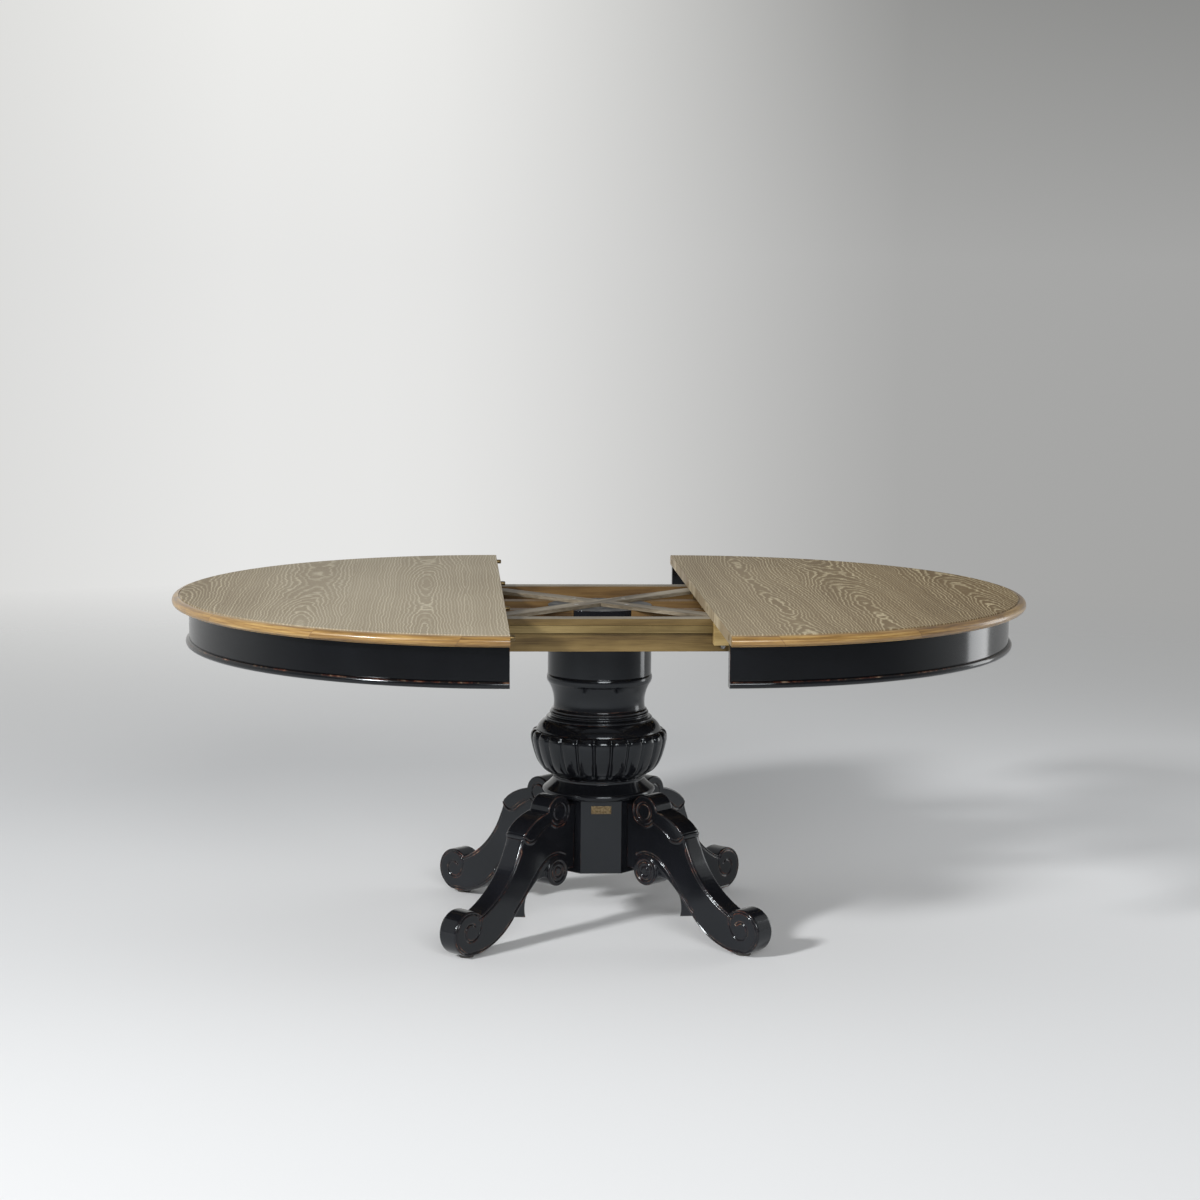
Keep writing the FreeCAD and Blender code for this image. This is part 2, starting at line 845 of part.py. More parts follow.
def drum_brace_screws(gap=0.0):
    """The brace screws that go into the drum."""
    return screws_along_braces((-brace_screw_reach, brace_screw_reach), gap)


def end_brace_screws(gap=0.0):
    """The brace screws that go into the cross members."""
    reach = cross_middle / brace_direction(1).x
    return screws_along_braces((-reach, reach), gap)


def brace(slant):
    """A flat diagonal brace, halved over the other one on the axis."""
    strip = brace_strip(slant, (drum_top, brace_top))
    middle = (drum_top + brace_top) / 2
    kept = (drum_top, middle) if slant > 0 else (middle, brace_top)
    halving = brace_strip(-slant, kept)
    return strip.cut([halving] + drum_brace_screws(screw_clearance) + end_brace_screws(screw_clearance))


def brace_strip(slant, levels):
    """The full strip of a brace between two levels, trimmed to the frame."""
    half_length = cross_outer + rail_inner
    way = brace_direction(slant)
    strip = box((-half_length, half_length), (-brace_width / 2, brace_width / 2), levels)
    strip.rotate(ORIGIN, Z_AXIS, math.degrees(math.atan2(way.y, way.x)))
    return strip.common(box((-cross_outer, cross_outer), (-rail_inner, rail_inner), levels))


def save_frame():
    """The fixed frame with its fasteners."""
    frame_screws = []
    pins = []
    for side, name in zip(SIDES, ("front", "back")):
        save(name + "_rail", frame_rail(side))
        save(name + "_guide_strip", guide_strip(side))
        frame_screws.extend(rail_screws(side))
        pins.extend(stop_pins(side))
    for end, name in zip(SIDES, ("left", "right")):
        save(name + "_cross_member", cross_member(end))
        save(name + "_bearers", *bearers(end))
        frame_screws.extend(bearer_screws(end))
    save("rising_brace", brace(1))
    save("falling_brace", brace(-1))
    save("frame_screws", *frame_screws)
    save("brace_screws", *(drum_brace_screws() + end_brace_screws()))
    save("stop_pins", *pins)


# Halves of the top, drawn for the right half with the cut at X = 0


def half_ring(edges):
    """A half turn of a closed outline, on the +X side of the cut."""
    face = Part.Face(Part.Wire(Part.__sortEdges__(edges)))
    return turned(-90, face, 180)


def ring_point(radius, level):
    """A point of the outline of a half ring."""
    return Vector(radius, 0, level)


def half_panel(hole_radius, hole_depth, stud_setback):
    """A half-round panel, drilled for its pins or bushes, runner screws and catch studs."""
    panel = Part.makeCylinder(panel_radius, top_thickness, Z_AXIS * panel_floor, Z_AXIS, 180)
    panel.rotate(ORIGIN, Z_AXIS, -90)
    tools = []
    for share in pin_place_shares:
        mouth = Vector(0, share * pin_pitch, pin_level)
        tools.append(rod(hole_radius, mouth - X_AXIS * overrun, mouth + X_AXIS * hole_depth))
    for side in SIDES:
        tools.extend(runner_screws(side, screw_clearance))
        foot = Vector(stud_setback, side * catch_offset, panel_floor)
        stud_radius = catch_pin_diameter / 2 + screw_clearance
        stud_depth = catch_pin_bite + screw_clearance
        tools.append(rod(stud_radius, foot - Z_AXIS * overrun, foot + Z_AXIS * stud_depth))
    return panel.cut(tools)


def edge_moulding():
    """The bullnose moulding round the rim, a little below the top of the panel."""
    steps = [
        [ring_point(panel_radius, panel_floor)],
        [ring_point(panel_radius + edge_foot, panel_floor)],
        [
            ring_point(rim_radius, panel_floor + edge_bulge_height),
            ring_point(panel_radius + edge_shelf, table_height - edge_step),
        ],
        [ring_point(panel_radius, table_height - edge_step)],
        [ring_point(panel_radius, panel_floor)],
    ]
    return half_ring(stepped_edges(steps))


def apron():
    """The curved apron under the rim."""
    steps = [
        [ring_point(apron_inner_radius, apron_floor)],
        [ring_point(apron_radius, apron_floor)],
        [ring_point(apron_radius, panel_floor)],
        [ring_point(apron_inner_radius, panel_floor)],
        [ring_point(apron_inner_radius, apron_floor)],
    ]
    return half_ring(stepped_edges(steps))


def apron_bead():
    """The half-round bead along the foot of the apron."""
    steps = [
        [ring_point(apron_radius, apron_floor)],
        [
            ring_point(apron_radius + bead_projection, apron_floor + bead_height / 2),
            ring_point(apron_radius, apron_floor + bead_height),
        ],
        [ring_point(apron_radius, apron_floor)],
    ]
    return half_ring(stepped_edges(steps))


def glue_blocks():
    """The blocks in the corner between the apron and the panel."""
    inside = rod(apron_inner_radius, Z_AXIS * (panel_floor - glue_block_height), Z_AXIS * panel_floor)
    blocks = []
    for angle in glue_block_angles:
        block = box(
            (apron_inner_radius - glue_block_depth, apron_inner_radius),
            (-glue_block_width / 2, glue_block_width / 2),
            (panel_floor - glue_block_height, panel_floor),
        )
        blocks.append(around(block.common(inside), angle))
    return blocks


def runner(side):
    """A runner beside a rail, grooved over the guide strip and slotted for the stop pin."""
    start = runner_setback
    end = runner_setback + runner_length
    block = box((start, end), (side * runner_inner, side * runner_outer), (runner_floor, panel_floor))
    groove = box(
        (start - overrun, end + overrun),
        (side * (runner_inner - overrun), side * (strip_outer + running_gap)),
        (strip_floor - running_gap, strip_top + running_gap),
    )
    pin_reach = stop_pin_diameter / 2 + stop_slot_clearance
    stop_end = stop_pin_place - half_gap - stop_pin_diameter / 2 - running_gap
    slot = box(
        (stop_end, end + overrun),
        (side * rail_outer, side * (strip_outer + stop_pin_projection + stop_slot_clearance)),
        (stop_level - pin_reach, stop_level + pin_reach),
    )
    return block.cut([groove, slot] + runner_screws(side, screw_clearance))


def runner_screws(side, gap=0.0):
    """The screws up through a runner into the panel."""
    screws = []
    for share in runner_screw_shares:
        place = runner_setback + share * runner_length
        head = Vector(place, side * (runner_outer - runner_screw_inset), runner_floor)
        screws.append(screw(head, Z_AXIS, runner_height + runner_screw_bite, gap))
    return screws


def alignment_pins():
    """The four pins of the left half: a shank in the panel and a thinner nose out of the cut face."""
    pins = []
    for share in pin_place_shares:
        mouth = Vector(0, share * pin_pitch, pin_level)
        nose = rod(pin_diameter / 2, mouth, mouth - X_AXIS * pin_projection)
        tip_edges = [edge for edge in nose.Edges if edge.Closed and edge.CenterOfMass.x < 0]
        shank = rod(pin_shank_diameter / 2, mouth, mouth + X_AXIS * (pin_length - pin_projection))
        pins.append(nose.makeChamfer(pin_tip_chamfer, tip_edges).fuse(shank))
    return pins


def pin_bushes():
    """The four bushes in the cut face of the right half."""
    bushes = []
    for share in pin_place_shares:
        mouth = Vector(0, share * pin_pitch, pin_level)
        bush = rod(bush_diameter / 2, mouth, mouth + X_AXIS * bush_length)
        hole_end = mouth + X_AXIS * (bush_length + overrun)
        hole = rod(pin_diameter / 2 + socket_clearance, mouth - X_AXIS * overrun, hole_end)
        bushes.append(bush.cut(hole))
    return bushes


def headed_stud(setback, side, boss_height, room):
    """A stud under the panel with a head below, and a boss against the panel where it has a height."""
    foot = Vector(setback, side * catch_offset, panel_floor)
    boss_end = foot - Z_AXIS * boss_height
    head_start = boss_end - Z_AXIS * room
    head_end = head_start - Z_AXIS * catch_head_height
    shank = rod(catch_pin_diameter / 2, foot + Z_AXIS * catch_pin_bite, head_end)
    collars = [rod(catch_head_diameter / 2, head_start, head_end)]
    if boss_height:
        collars.append(rod(catch_head_diameter / 2, foot, boss_end))
    return shank.fuse(collars).removeSplitter()


def catch_lever(side):
    """A lever parked along the cut, with a slot in the edge that leads when it turns to its keeper."""
    top = panel_floor - catch_boss_height - lever_play
    levels = (top - lever_thickness, top)
    half_width = lever_width / 2
    bar = box((-lever_reach - lever_tip, 0), (-half_width, half_width), levels)
    eye = rod(half_width, Z_AXIS * levels[0], Z_AXIS * levels[1])
    hole = rod(catch_pin_diameter / 2 + lever_play, Z_AXIS * levels[0], Z_AXIS * levels[1])
    slot_radius = catch_pin_diameter / 2 + lever_slot_clearance
    slot_end = Vector(-lever_reach, 0, 0)
    slot_round = rod(slot_radius, slot_end + Z_AXIS * levels[0], slot_end + Z_AXIS * levels[1])
    slot_mouth = box(
        (-lever_reach - slot_radius, -lever_reach + slot_radius),
        (0, side * (half_width + overrun)),
        levels,
    )
    lever = bar.fuse(eye).removeSplitter().cut([hole, slot_round, slot_mouth])
    lever.rotate(ORIGIN, Z_AXIS, 90 * side)
    lever.translate(Vector(catch_pivot_setback, side * catch_offset, 0))
    return lever


def save_half(name, place, panel, front_side):
    """The pieces that both halves share."""
    save(name + "_top_panel", place(panel))
    save(name + "_edge_moulding", place(edge_moulding()))
    save(name + "_apron", place(apron()))
    save(name + "_apron_bead", place(apron_bead()))
    save(name + "_glue_blocks", *[place(block) for block in glue_blocks()])
    save(name + "_front_runner", place(runner(front_side)))
    save(name + "_back_runner", place(runner(-front_side)))
    screws = []
    for side in SIDES:
        screws.extend(place(piece) for piece in runner_screws(side))
    save(name + "_runner_screws", *screws)


def save_top():
    """Both halves of the top with their pins, bushes and catches."""
    left_panel = half_panel(pin_shank_diameter / 2, pin_length - pin_projection, catch_keeper_setback)
    right_panel = half_panel(bush_diameter / 2, bush_length, catch_pivot_setback)
    save_half("left", to_left, left_panel, 1)
    save_half("right", to_right, right_panel, -1)
    save("alignment_pins", *[to_left(pin) for pin in alignment_pins()])
    save("pin_bushes", *[to_right(bush) for bush in pin_bushes()])
    pivots = []
    keepers = []
    for side, name in zip(SIDES, ("front", "back")):
        pivots.append(to_right(headed_stud(catch_pivot_setback, side, catch_boss_height, lever_room)))
        keepers.append(to_left(headed_stud(catch_keeper_setback, side, 0, catch_boss_height + lever_room)))
        save(name + "_catch_lever", to_right(catch_lever(side)))
    save("catch_pivots", *pivots)
    save("catch_keepers", *keepers)


def save_pedestal():
    """The block, the turned pieces and the rod that clamps them."""
    save("central_block", central_block())
    save("blank_plate", blank_plate())
    save("plate_pins", *plate_pins())
    save("base_ring", base_ring())
    save("gadroon_bowl", gadroon_bowl())
    save("shoulder", shoulder())
    save("neck_and_drum", neck_and_drum())
    bar, washers, nuts = tie_rod_pieces()
    save("tie_rod", bar)
    save("tie_rod_washers", *washers)
    save("tie_rod_nuts", *nuts)
    save_legs()


os.makedirs("parts", exist_ok=True)
save_pedestal()
save_frame()
save_top()
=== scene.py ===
# %% [markdown]
# # An extending pedestal table
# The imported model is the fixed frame: its solids are in the right place and stay as they are.
# This lesson dresses it. Solids whose shape is right keep it and get a finish, and the carved
# and moulded pieces are made again, finer, in the same place.

# %% Load the frame
import math

import bmesh
import bpy
import numpy as np
from mathutils import Matrix, Vector
from mathutils.kdtree import KDTree


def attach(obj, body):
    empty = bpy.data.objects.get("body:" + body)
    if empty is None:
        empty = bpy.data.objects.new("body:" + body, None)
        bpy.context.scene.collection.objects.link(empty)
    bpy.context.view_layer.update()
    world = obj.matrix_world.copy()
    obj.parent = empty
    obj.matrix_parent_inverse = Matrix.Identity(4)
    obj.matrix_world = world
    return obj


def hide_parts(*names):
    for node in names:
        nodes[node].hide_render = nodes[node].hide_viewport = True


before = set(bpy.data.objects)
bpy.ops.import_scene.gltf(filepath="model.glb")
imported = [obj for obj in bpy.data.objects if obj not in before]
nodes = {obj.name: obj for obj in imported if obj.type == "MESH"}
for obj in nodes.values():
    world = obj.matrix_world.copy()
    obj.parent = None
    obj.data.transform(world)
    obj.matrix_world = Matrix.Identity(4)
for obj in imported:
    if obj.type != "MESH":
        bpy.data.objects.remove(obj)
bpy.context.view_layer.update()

# %% [markdown]
# ## Camera
# The photograph was taken from the front, a little left of the middle and from about head height,
# with a long lens. The aim and the lens below put the rim, the cut ends and the feet where they are
# in the picture. A small roll keeps the front edges of the rails level.

# %% Place the camera
LENS = 79.9
EYE = (-0.3597, -6.0733, 1.5379)
TURN, DIP, ROLL = -3.39, 7.31, 0.46
camera_data = bpy.data.cameras.new("camera")
camera_data.lens = LENS
camera = bpy.data.objects.new("camera", camera_data)
turned = Matrix.Rotation(math.radians(TURN), 4, "Z")
dipped = Matrix.Rotation(math.radians(90 - DIP), 4, "X")
rolled = Matrix.Rotation(math.radians(ROLL), 4, "Z")
camera.matrix_world = Matrix.Translation(EYE) @ (turned @ dipped @ rolled)
bpy.context.scene.collection.objects.link(camera)
bpy.context.scene.camera = camera
bpy.context.scene.view_settings.view_transform = "Standard"
print("camera at", [round(v, 3) for v in camera.matrix_world.translation])

# %% [markdown]
# ## Building a finish from nodes
# Every finish is a small tree of nodes. `add` makes one node: plain values go on its sockets, and
# a socket given as a value is linked. `paint` turns a colour as paint programs write it into the
# light values that nodes use.


# %% Colours and nodes
def paint(red, green, blue):
    """A colour written from 0 to 255, as the linear colour that nodes use."""
    values = []
    for value in (red, green, blue):
        share = value / 255
        values.append(share / 12.92 if share <= 0.04045 else ((share + 0.055) / 1.055) ** 2.4)
    return (*values, 1.0)


def add(tree, kind, inputs=None, **settings):
    """One node with its settings and inputs. Returns the node."""
    made = tree.nodes.new("ShaderNode" + kind)
    for name, value in settings.items():
        setattr(made, name, value)
    for place, value in (inputs or {}).items():
        if isinstance(value, bpy.types.NodeSocket):
            tree.links.new(value, made.inputs[place])
        else:
            made.inputs[place].default_value = value
    return made


print("a middle grey as light:", round(paint(128, 128, 128)[0], 3))

# %% [markdown]
# ## Sums, scales and mixes
# Three kinds of node do most of the work. A Math node reckons with two or three values, a colour
# ramp reads a grey or a colour off a scale, and a Mix node lays one colour over another. Each gets a
# short name, so that a finish below reads like a recipe.


# %% Sums, scales and mixes
def sum_of(tree, operation, first, second=0.0, third=0.0):
    """The result of one Math node."""
    return add(tree, "Math", {0: first, 1: second, 2: third}, operation=operation).outputs[0]


def ramp(tree, factor, stops, join="LINEAR"):
    """A colour or grey scale read off a factor. Stops are (place, grey or colour)."""
    made = add(tree, "ValToRGB", {"Fac": factor})
    made.color_ramp.interpolation = join
    while len(made.color_ramp.elements) < len(stops):
        made.color_ramp.elements.new(0.5)
    for element, (place, colour) in zip(made.color_ramp.elements, stops):
        element.position = place
        element.color = colour if isinstance(colour, tuple) else (colour, colour, colour, 1.0)
    return made.outputs["Color"]


def blend(tree, factor, first, second):
    """Two colours mixed by a factor."""
    return add(tree, "Mix", {0: factor, 6: first, 7: second}, data_type="RGBA").outputs[2]


# %% [markdown]
# ## Grain and relief
# Wood, lacquer and metal all need some noise. Stretching the coordinates before the noise is read
# draws it out into grain. A little of the same noise tilts the normals, so that the light catches
# it, and the Bevel node rounds the arrises of solids that are sharp.


# %% Grain and relief
def grain(tree, vector, scale=1.0, detail=2.0, roughness=0.5):
    """Noise from 0 to 1, drawn out by the vector it is given."""
    inputs = {"Vector": vector, "Scale": scale, "Detail": detail, "Roughness": roughness}
    return add(tree, "TexNoise", inputs).outputs["Fac"]


def stretched(tree, vector, scales, turn=0.0):
    """Coordinates turned about Z, then scaled along each axis."""
    turned = add(tree, "Mapping", {"Vector": vector, "Rotation": (0.0, 0.0, turn)})
    return add(tree, "Mapping", {"Vector": turned.outputs[0], "Scale": scales}).outputs[0]


def relief(tree, height, strength, distance, arris=0.0):
    """Normals tilted by a small height pattern, and rounded over the arrises if given a radius."""
    inputs = {"Height": height, "Strength": strength, "Distance": distance}
    if arris:
        inputs["Normal"] = add(tree, "Bevel", {"Radius": arris}, samples=4).outputs[0]
    return add(tree, "Bump", inputs).outputs[0]


# %% [markdown]
# ## Starting a finish
# A finish starts with a new material, whose main shader is already there. It reads Object
# coordinates, in metres from the middle of the floor under the table. `facing` finds the faces that
# look straight up, where dust lies, or straight down, where shade under the tops is painted dark.


# %% Start and feed a finish
UP, DOWN = 1.0, -1.0


def new_finish(name):
    """An empty finish. Returns the material, its tree, its main shader and Object coordinates."""
    material = bpy.data.materials.new(name)
    material.use_nodes = True
    tree = material.node_tree
    shader = tree.nodes["Principled BSDF"]
    return material, tree, shader, add(tree, "TexCoord").outputs["Object"]


def feed(tree, shader, **sockets):
    """Links results to the main shader's sockets."""
    for name, socket in sockets.items():
        tree.links.new(socket, shader.inputs[name.replace("_", " ")])


def facing(tree, way):
    """1 on faces that look straight up or straight down, 0 elsewhere."""
    normal = add(tree, "NewGeometry").outputs["Normal"]
    level = add(tree, "SeparateXYZ", {0: normal}).outputs[2]
    return ramp(tree, sum_of(tree, "MULTIPLY", level, way), [(0.85, 0.0), (0.95, 1.0)])


# %% [markdown]
# ## Year rings of the veneer
# The tops are laid with strips of flat-sawn ash. A flat-sawn strip cuts the year rings of the log at
# a slant, so the rings show as nested flames. The finish does the same sum: for each point it takes
# the distance from the middle of a log whose depth changes along the strip. Every strip has a log of
# its own, shifted by chance, and two noises make the rings ripple and tremble.


# %% Year rings
STRIP, STRIP_START = 0.265, 0.045
RING = 0.0068
LOG_LEAN, LOG_DEPTH, LOG_WANDER = 0.034, 0.03, 0.12
SHIFT_ACROSS, SHIFT_ALONG = 0.1, 1.6
RIPPLE, TREMBLE = 0.022, 0.007


def spread(tree, share, width):
    """A share from 0 to 1, laid out over a width with its middle at 0."""
    return sum_of(tree, "MULTIPLY_ADD", share, width, -width / 2)


def squared(tree, value):
    """A value of either sign times itself."""
    return sum_of(tree, "POWER", sum_of(tree, "ABSOLUTE", value), 2.0)


def year_rings(tree, place):
    """How many rings lie between each point and the middle of its strip's log."""
    split = add(tree, "SeparateXYZ", {0: place})
    shifted = sum_of(tree, "ADD", split.outputs[0], STRIP_START)
    strip = sum_of(tree, "FLOOR", sum_of(tree, "DIVIDE", shifted, STRIP))
    chance = add(tree, "TexWhiteNoise", {"W": strip}, noise_dimensions="1D")
    chances = add(tree, "SeparateColor", {0: chance.outputs["Color"]})
    middle = sum_of(tree, "MULTIPLY_ADD", strip, STRIP, STRIP / 2)
    across = sum_of(tree, "SUBTRACT", shifted, middle)
    across = sum_of(tree, "ADD", across, spread(tree, chances.outputs[0], SHIFT_ACROSS))
    along = sum_of(tree, "ADD", split.outputs[1], spread(tree, chances.outputs[1], SHIFT_ALONG))
    wander = grain(tree, stretched(tree, place, (4.0, 1.3, 1.0)), detail=1.0)
    depth = sum_of(tree, "MULTIPLY_ADD", along, LOG_LEAN, LOG_DEPTH)
    depth = sum_of(tree, "ADD", depth, spread(tree, wander, LOG_WANDER))
    radius = sum_of(tree, "POWER", sum_of(tree, "ADD", squared(tree, across), squared(tree, depth)), 0.5)
    ripple = grain(tree, stretched(tree, place, (15.0, 5.0, 1.0)))
    tremble = grain(tree, stretched(tree, place, (48.0, 36.0, 1.0)), detail=1.0)
    radius = sum_of(tree, "MULTIPLY_ADD", ripple, RIPPLE, radius)
    radius = sum_of(tree, "MULTIPLY_ADD", tremble, TREMBLE, radius)
    return sum_of(tree, "DIVIDE", radius, RING)


# %% [markdown]
# ## The limed ash
# The veneer is limed: the open pores at the start of each ring hold a pale filler. So the fraction of
# the ring count draws a thin pale line, some rings stronger than others, and fine noise breaks it up
# into pores. A pale sheen is painted into the colour as painted light: it is strongest on the left half,
# fades to the right and greys the filler. The lacquer is a soft satin, because a smoother one goes
# white where it mirrors a lamp. The underside is painted dark, as painted shade under the tops.


# %% Limed ash veneer
PORE_LINE = [(0.0, 1.0), (0.16, 0.85), (0.34, 0.1), (0.84, 0.0), (0.94, 0.4), (1.0, 1.0)]
# Painted sheen: places from the left end to the right end, and how much pale painted light lies there.
PAINTED_SHEEN = [(0.01, 0.5), (0.2, 0.9), (0.39, 0.85), (0.61, 0.5), (0.8, 0.22), (0.98, 0.05)]
FAINTEST_RING = 0.35
WOOD_ARRIS = 0.0012


def ash_veneer():
    """The finish of both tops."""
    material, tree, shader, place = new_finish("ash_veneer_limed")
    count = year_rings(tree, place)
    ring = sum_of(tree, "FLOOR", count)
    line = ramp(tree, sum_of(tree, "SUBTRACT", count, ring), PORE_LINE)
    strength = add(tree, "TexWhiteNoise", {"W": ring}, noise_dimensions="1D").outputs["Value"]
    pores = grain(tree, stretched(tree, place, (620.0, 38.0, 1.0)))
    strength = sum_of(tree, "MULTIPLY_ADD", strength, 1 - FAINTEST_RING, FAINTEST_RING)
    broken = sum_of(tree, "MULTIPLY", line, strength)
    filled = sum_of(tree, "MULTIPLY", broken, ramp(tree, pores, [(0.3, 0.45), (0.6, 1.0)]))
    cloud = grain(tree, stretched(tree, place, (5.0, 1.6, 1.0)), detail=3.0)
    brown = ramp(tree, cloud, [(0.3, paint(101, 79, 47)), (0.7, paint(122, 100, 65))])
    pale = ramp(tree, cloud, [(0.3, paint(150, 138, 116)), (0.7, paint(166, 155, 134))])
    # Painted sheen: from the left end to the right, the wood is mixed towards a pale grey and the filler
    # greys.
    from_left = add(tree, "SeparateXYZ", {0: place}).outputs[0]
    from_left = sum_of(tree, "ADD", sum_of(tree, "MULTIPLY", from_left, 0.5), 0.5)
    painted_sheen = ramp(tree, from_left, PAINTED_SHEEN)
    filler = blend(tree, painted_sheen, paint(212, 196, 158), paint(202, 194, 172))
    limed = blend(tree, filled, blend(tree, painted_sheen, brown, pale), filler)
    # Painted shade: faces that look down are coloured dark brown, as the shade under the tops.
    painted_underside_shade = ramp(tree, cloud, [(0.3, paint(34, 28, 23)), (0.7, paint(48, 40, 33))])
    hollow = sum_of(tree, "SUBTRACT", 1.0, filled)
    feed(tree, shader, Base_Color=blend(tree, facing(tree, DOWN), limed, painted_underside_shade),
         Roughness=ramp(tree, pores, [(0.3, 0.44), (0.7, 0.58)]),
         Normal=relief(tree, hollow, strength=0.25, distance=0.0004, arris=WOOD_ARRIS))
    shader.inputs["Specular IOR Level"].default_value = 0.1
    return material


veneer = ash_veneer()
print("veneer nodes:", len(veneer.node_tree.nodes))

# %% [markdown]
# ## The honey edge
# The rim is built up from short solid pieces glued end to end, each with its own tone, and the grain
# runs round the table. The finish works in the angle round each half's centre: the angle picks the
# piece, and noise drawn out along the angle makes the grain. A dark hair line marks each glue joint.

# %% Honey edge
HALF_GAP = 0.225
PIECES_PER_RADIAN, FIRST_PIECE = 2.3, 7.3
JOINT_LEAN, JOINT_LEVEL = 2.2, -1.7
SIDE_STEP = 13.0
GRAIN_ROUND, GRAIN_UP, GRAIN_PIECE = 6.0, 230.0, 3.7
TONE_RANGE, FINE_RANGE = 0.16, 0.25


def round_place(tree, place):
    """The angle round the centre of the half that a point is in, its side and its level."""
    split = add(tree, "SeparateXYZ", {0: place})
    side = sum_of(tree, "SIGN", split.outputs[0])
    centre = sum_of(tree, "MULTIPLY", side, HALF_GAP)
    out = sum_of(tree, "SUBTRACT", split.outputs[0], centre)
    angle = sum_of(tree, "ARCTAN2", split.outputs[1], sum_of(tree, "ABSOLUTE", out))
    return angle, side, split.outputs[2]


def honey_edge():
    """The finish of both edge mouldings."""
    material, tree, shader, place = new_finish("honey_edge_wood")
    angle, side, level = round_place(tree, place)
    lean = sum_of(tree, "MULTIPLY_ADD", level, JOINT_LEAN, JOINT_LEVEL)
    pieces = sum_of(tree, "MULTIPLY_ADD", angle, PIECES_PER_RADIAN, lean)
    pieces = sum_of(tree, "ADD", pieces, FIRST_PIECE)
    piece = sum_of(tree, "FLOOR", pieces)
    number = sum_of(tree, "MULTIPLY_ADD", side, SIDE_STEP, piece)
    tone = add(tree, "TexWhiteNoise", {"W": number}, noise_dimensions="1D").outputs["Value"]
    drawn = add(tree, "CombineXYZ", {0: sum_of(tree, "MULTIPLY", angle, GRAIN_ROUND),
                                     1: sum_of(tree, "MULTIPLY", level, GRAIN_UP),
                                     2: sum_of(tree, "MULTIPLY", number, GRAIN_PIECE)}).outputs[0]
    streak = grain(tree, drawn, detail=4.0, roughness=0.62)
    fine = grain(tree, add(tree, "Mapping", {"Vector": drawn, "Scale": (7.0, 4.0, 1.0)}).outputs[0])
    mixed = sum_of(tree, "ADD", spread(tree, tone, TONE_RANGE), streak)
    mixed = sum_of(tree, "ADD", spread(tree, fine, FINE_RANGE), mixed)
    wood = ramp(tree, mixed, [(0.25, paint(92, 65, 30)), (0.45, paint(132, 99, 49)),
                              (0.6, paint(157, 123, 68)), (0.8, paint(190, 158, 98))])
    joint = sum_of(tree, "SUBTRACT", sum_of(tree, "SUBTRACT", pieces, piece), 0.5)
    hair = ramp(tree, sum_of(tree, "ABSOLUTE", joint), [(0.495, 0.0), (0.499, 0.6)])
    feed(tree, shader, Base_Color=blend(tree, hair, wood, paint(92, 58, 26)),
         Roughness=ramp(tree, streak, [(0.3, 0.3), (0.7, 0.42)]),
         Normal=relief(tree, fine, strength=0.12, distance=0.0003))
    shader.inputs["Coat Weight"].default_value = 0.45
    shader.inputs["Coat Roughness"].default_value = 0.15
    return material


honey = honey_edge()
print("honey edge nodes:", len(honey.node_tree.nodes))

# %% [markdown]
# ## Where the lacquer can wear
# The base and the aprons are lacquered black over a red-brown stain, then rubbed through along the
# arrises to look old. The finish needs to know where the edges are. On carved pieces that is stored
# on the mesh as `rub`. On plain solids the Bevel node tells it: close to an edge its rounded normal
# leans away from the true one. The bead under the apron is rubbed on its upper shoulder.


# %% Three ways to find an edge
def edge_of_mesh(tree):
    """How rubbed a carved piece is, from its own mesh."""
    return add(tree, "Attribute", attribute_name="rub").outputs["Fac"]


def edge_of_bead(tree):
    """The upper shoulder of the apron's bead, where hands and chairs rub it."""
    normal = add(tree, "NewGeometry").outputs["Normal"]
    lift = add(tree, "SeparateXYZ", {0: normal}).outputs[2]
    return ramp(tree, lift, [(0.4, 0.0), (0.55, 0.6), (0.7, 0.6), (0.85, 0.0)])


def edge_of_solid(tree):
    """How near a point of a plain solid is to an arris."""
    soft = add(tree, "Bevel", {"Radius": 0.0022}, samples=6).outputs[0]
    true = add(tree, "NewGeometry").outputs["Normal"]
    agree = add(tree, "VectorMath", {0: soft, 1: true}, operation="DOT_PRODUCT").outputs["Value"]
    return ramp(tree, sum_of(tree, "SUBTRACT", 1.0, agree), [(0.03, 0.0), (0.2, 1.0)])


# %% [markdown]
# ## The black lacquer
# Two noises decide where a rubbed edge really shows: broad patches that were rubbed harder, and fine
# flecks that leave some lacquer in the grain. Under it the stain runs from red-brown to bare wood, and
# its pale end is partly painted highlight along the arrises. The top of the drum, inside the frame,
# never got its last coats, so it is dull and grey.

# %% Black lacquer
DEEP_BLACK = paint(6, 6, 8), paint(11, 12, 15)
SATIN_BLACK = paint(15, 16, 19), paint(22, 23, 27)
COOL_GLOSS = (0.9, 0.96, 1.0, 1.0)
DULLNESS, CLOUD_DULLNESS = 0.07, 0.12
WORN_DULLNESS, BARE_DULLNESS = 0.35, 0.6
ARRIS = 0.0016


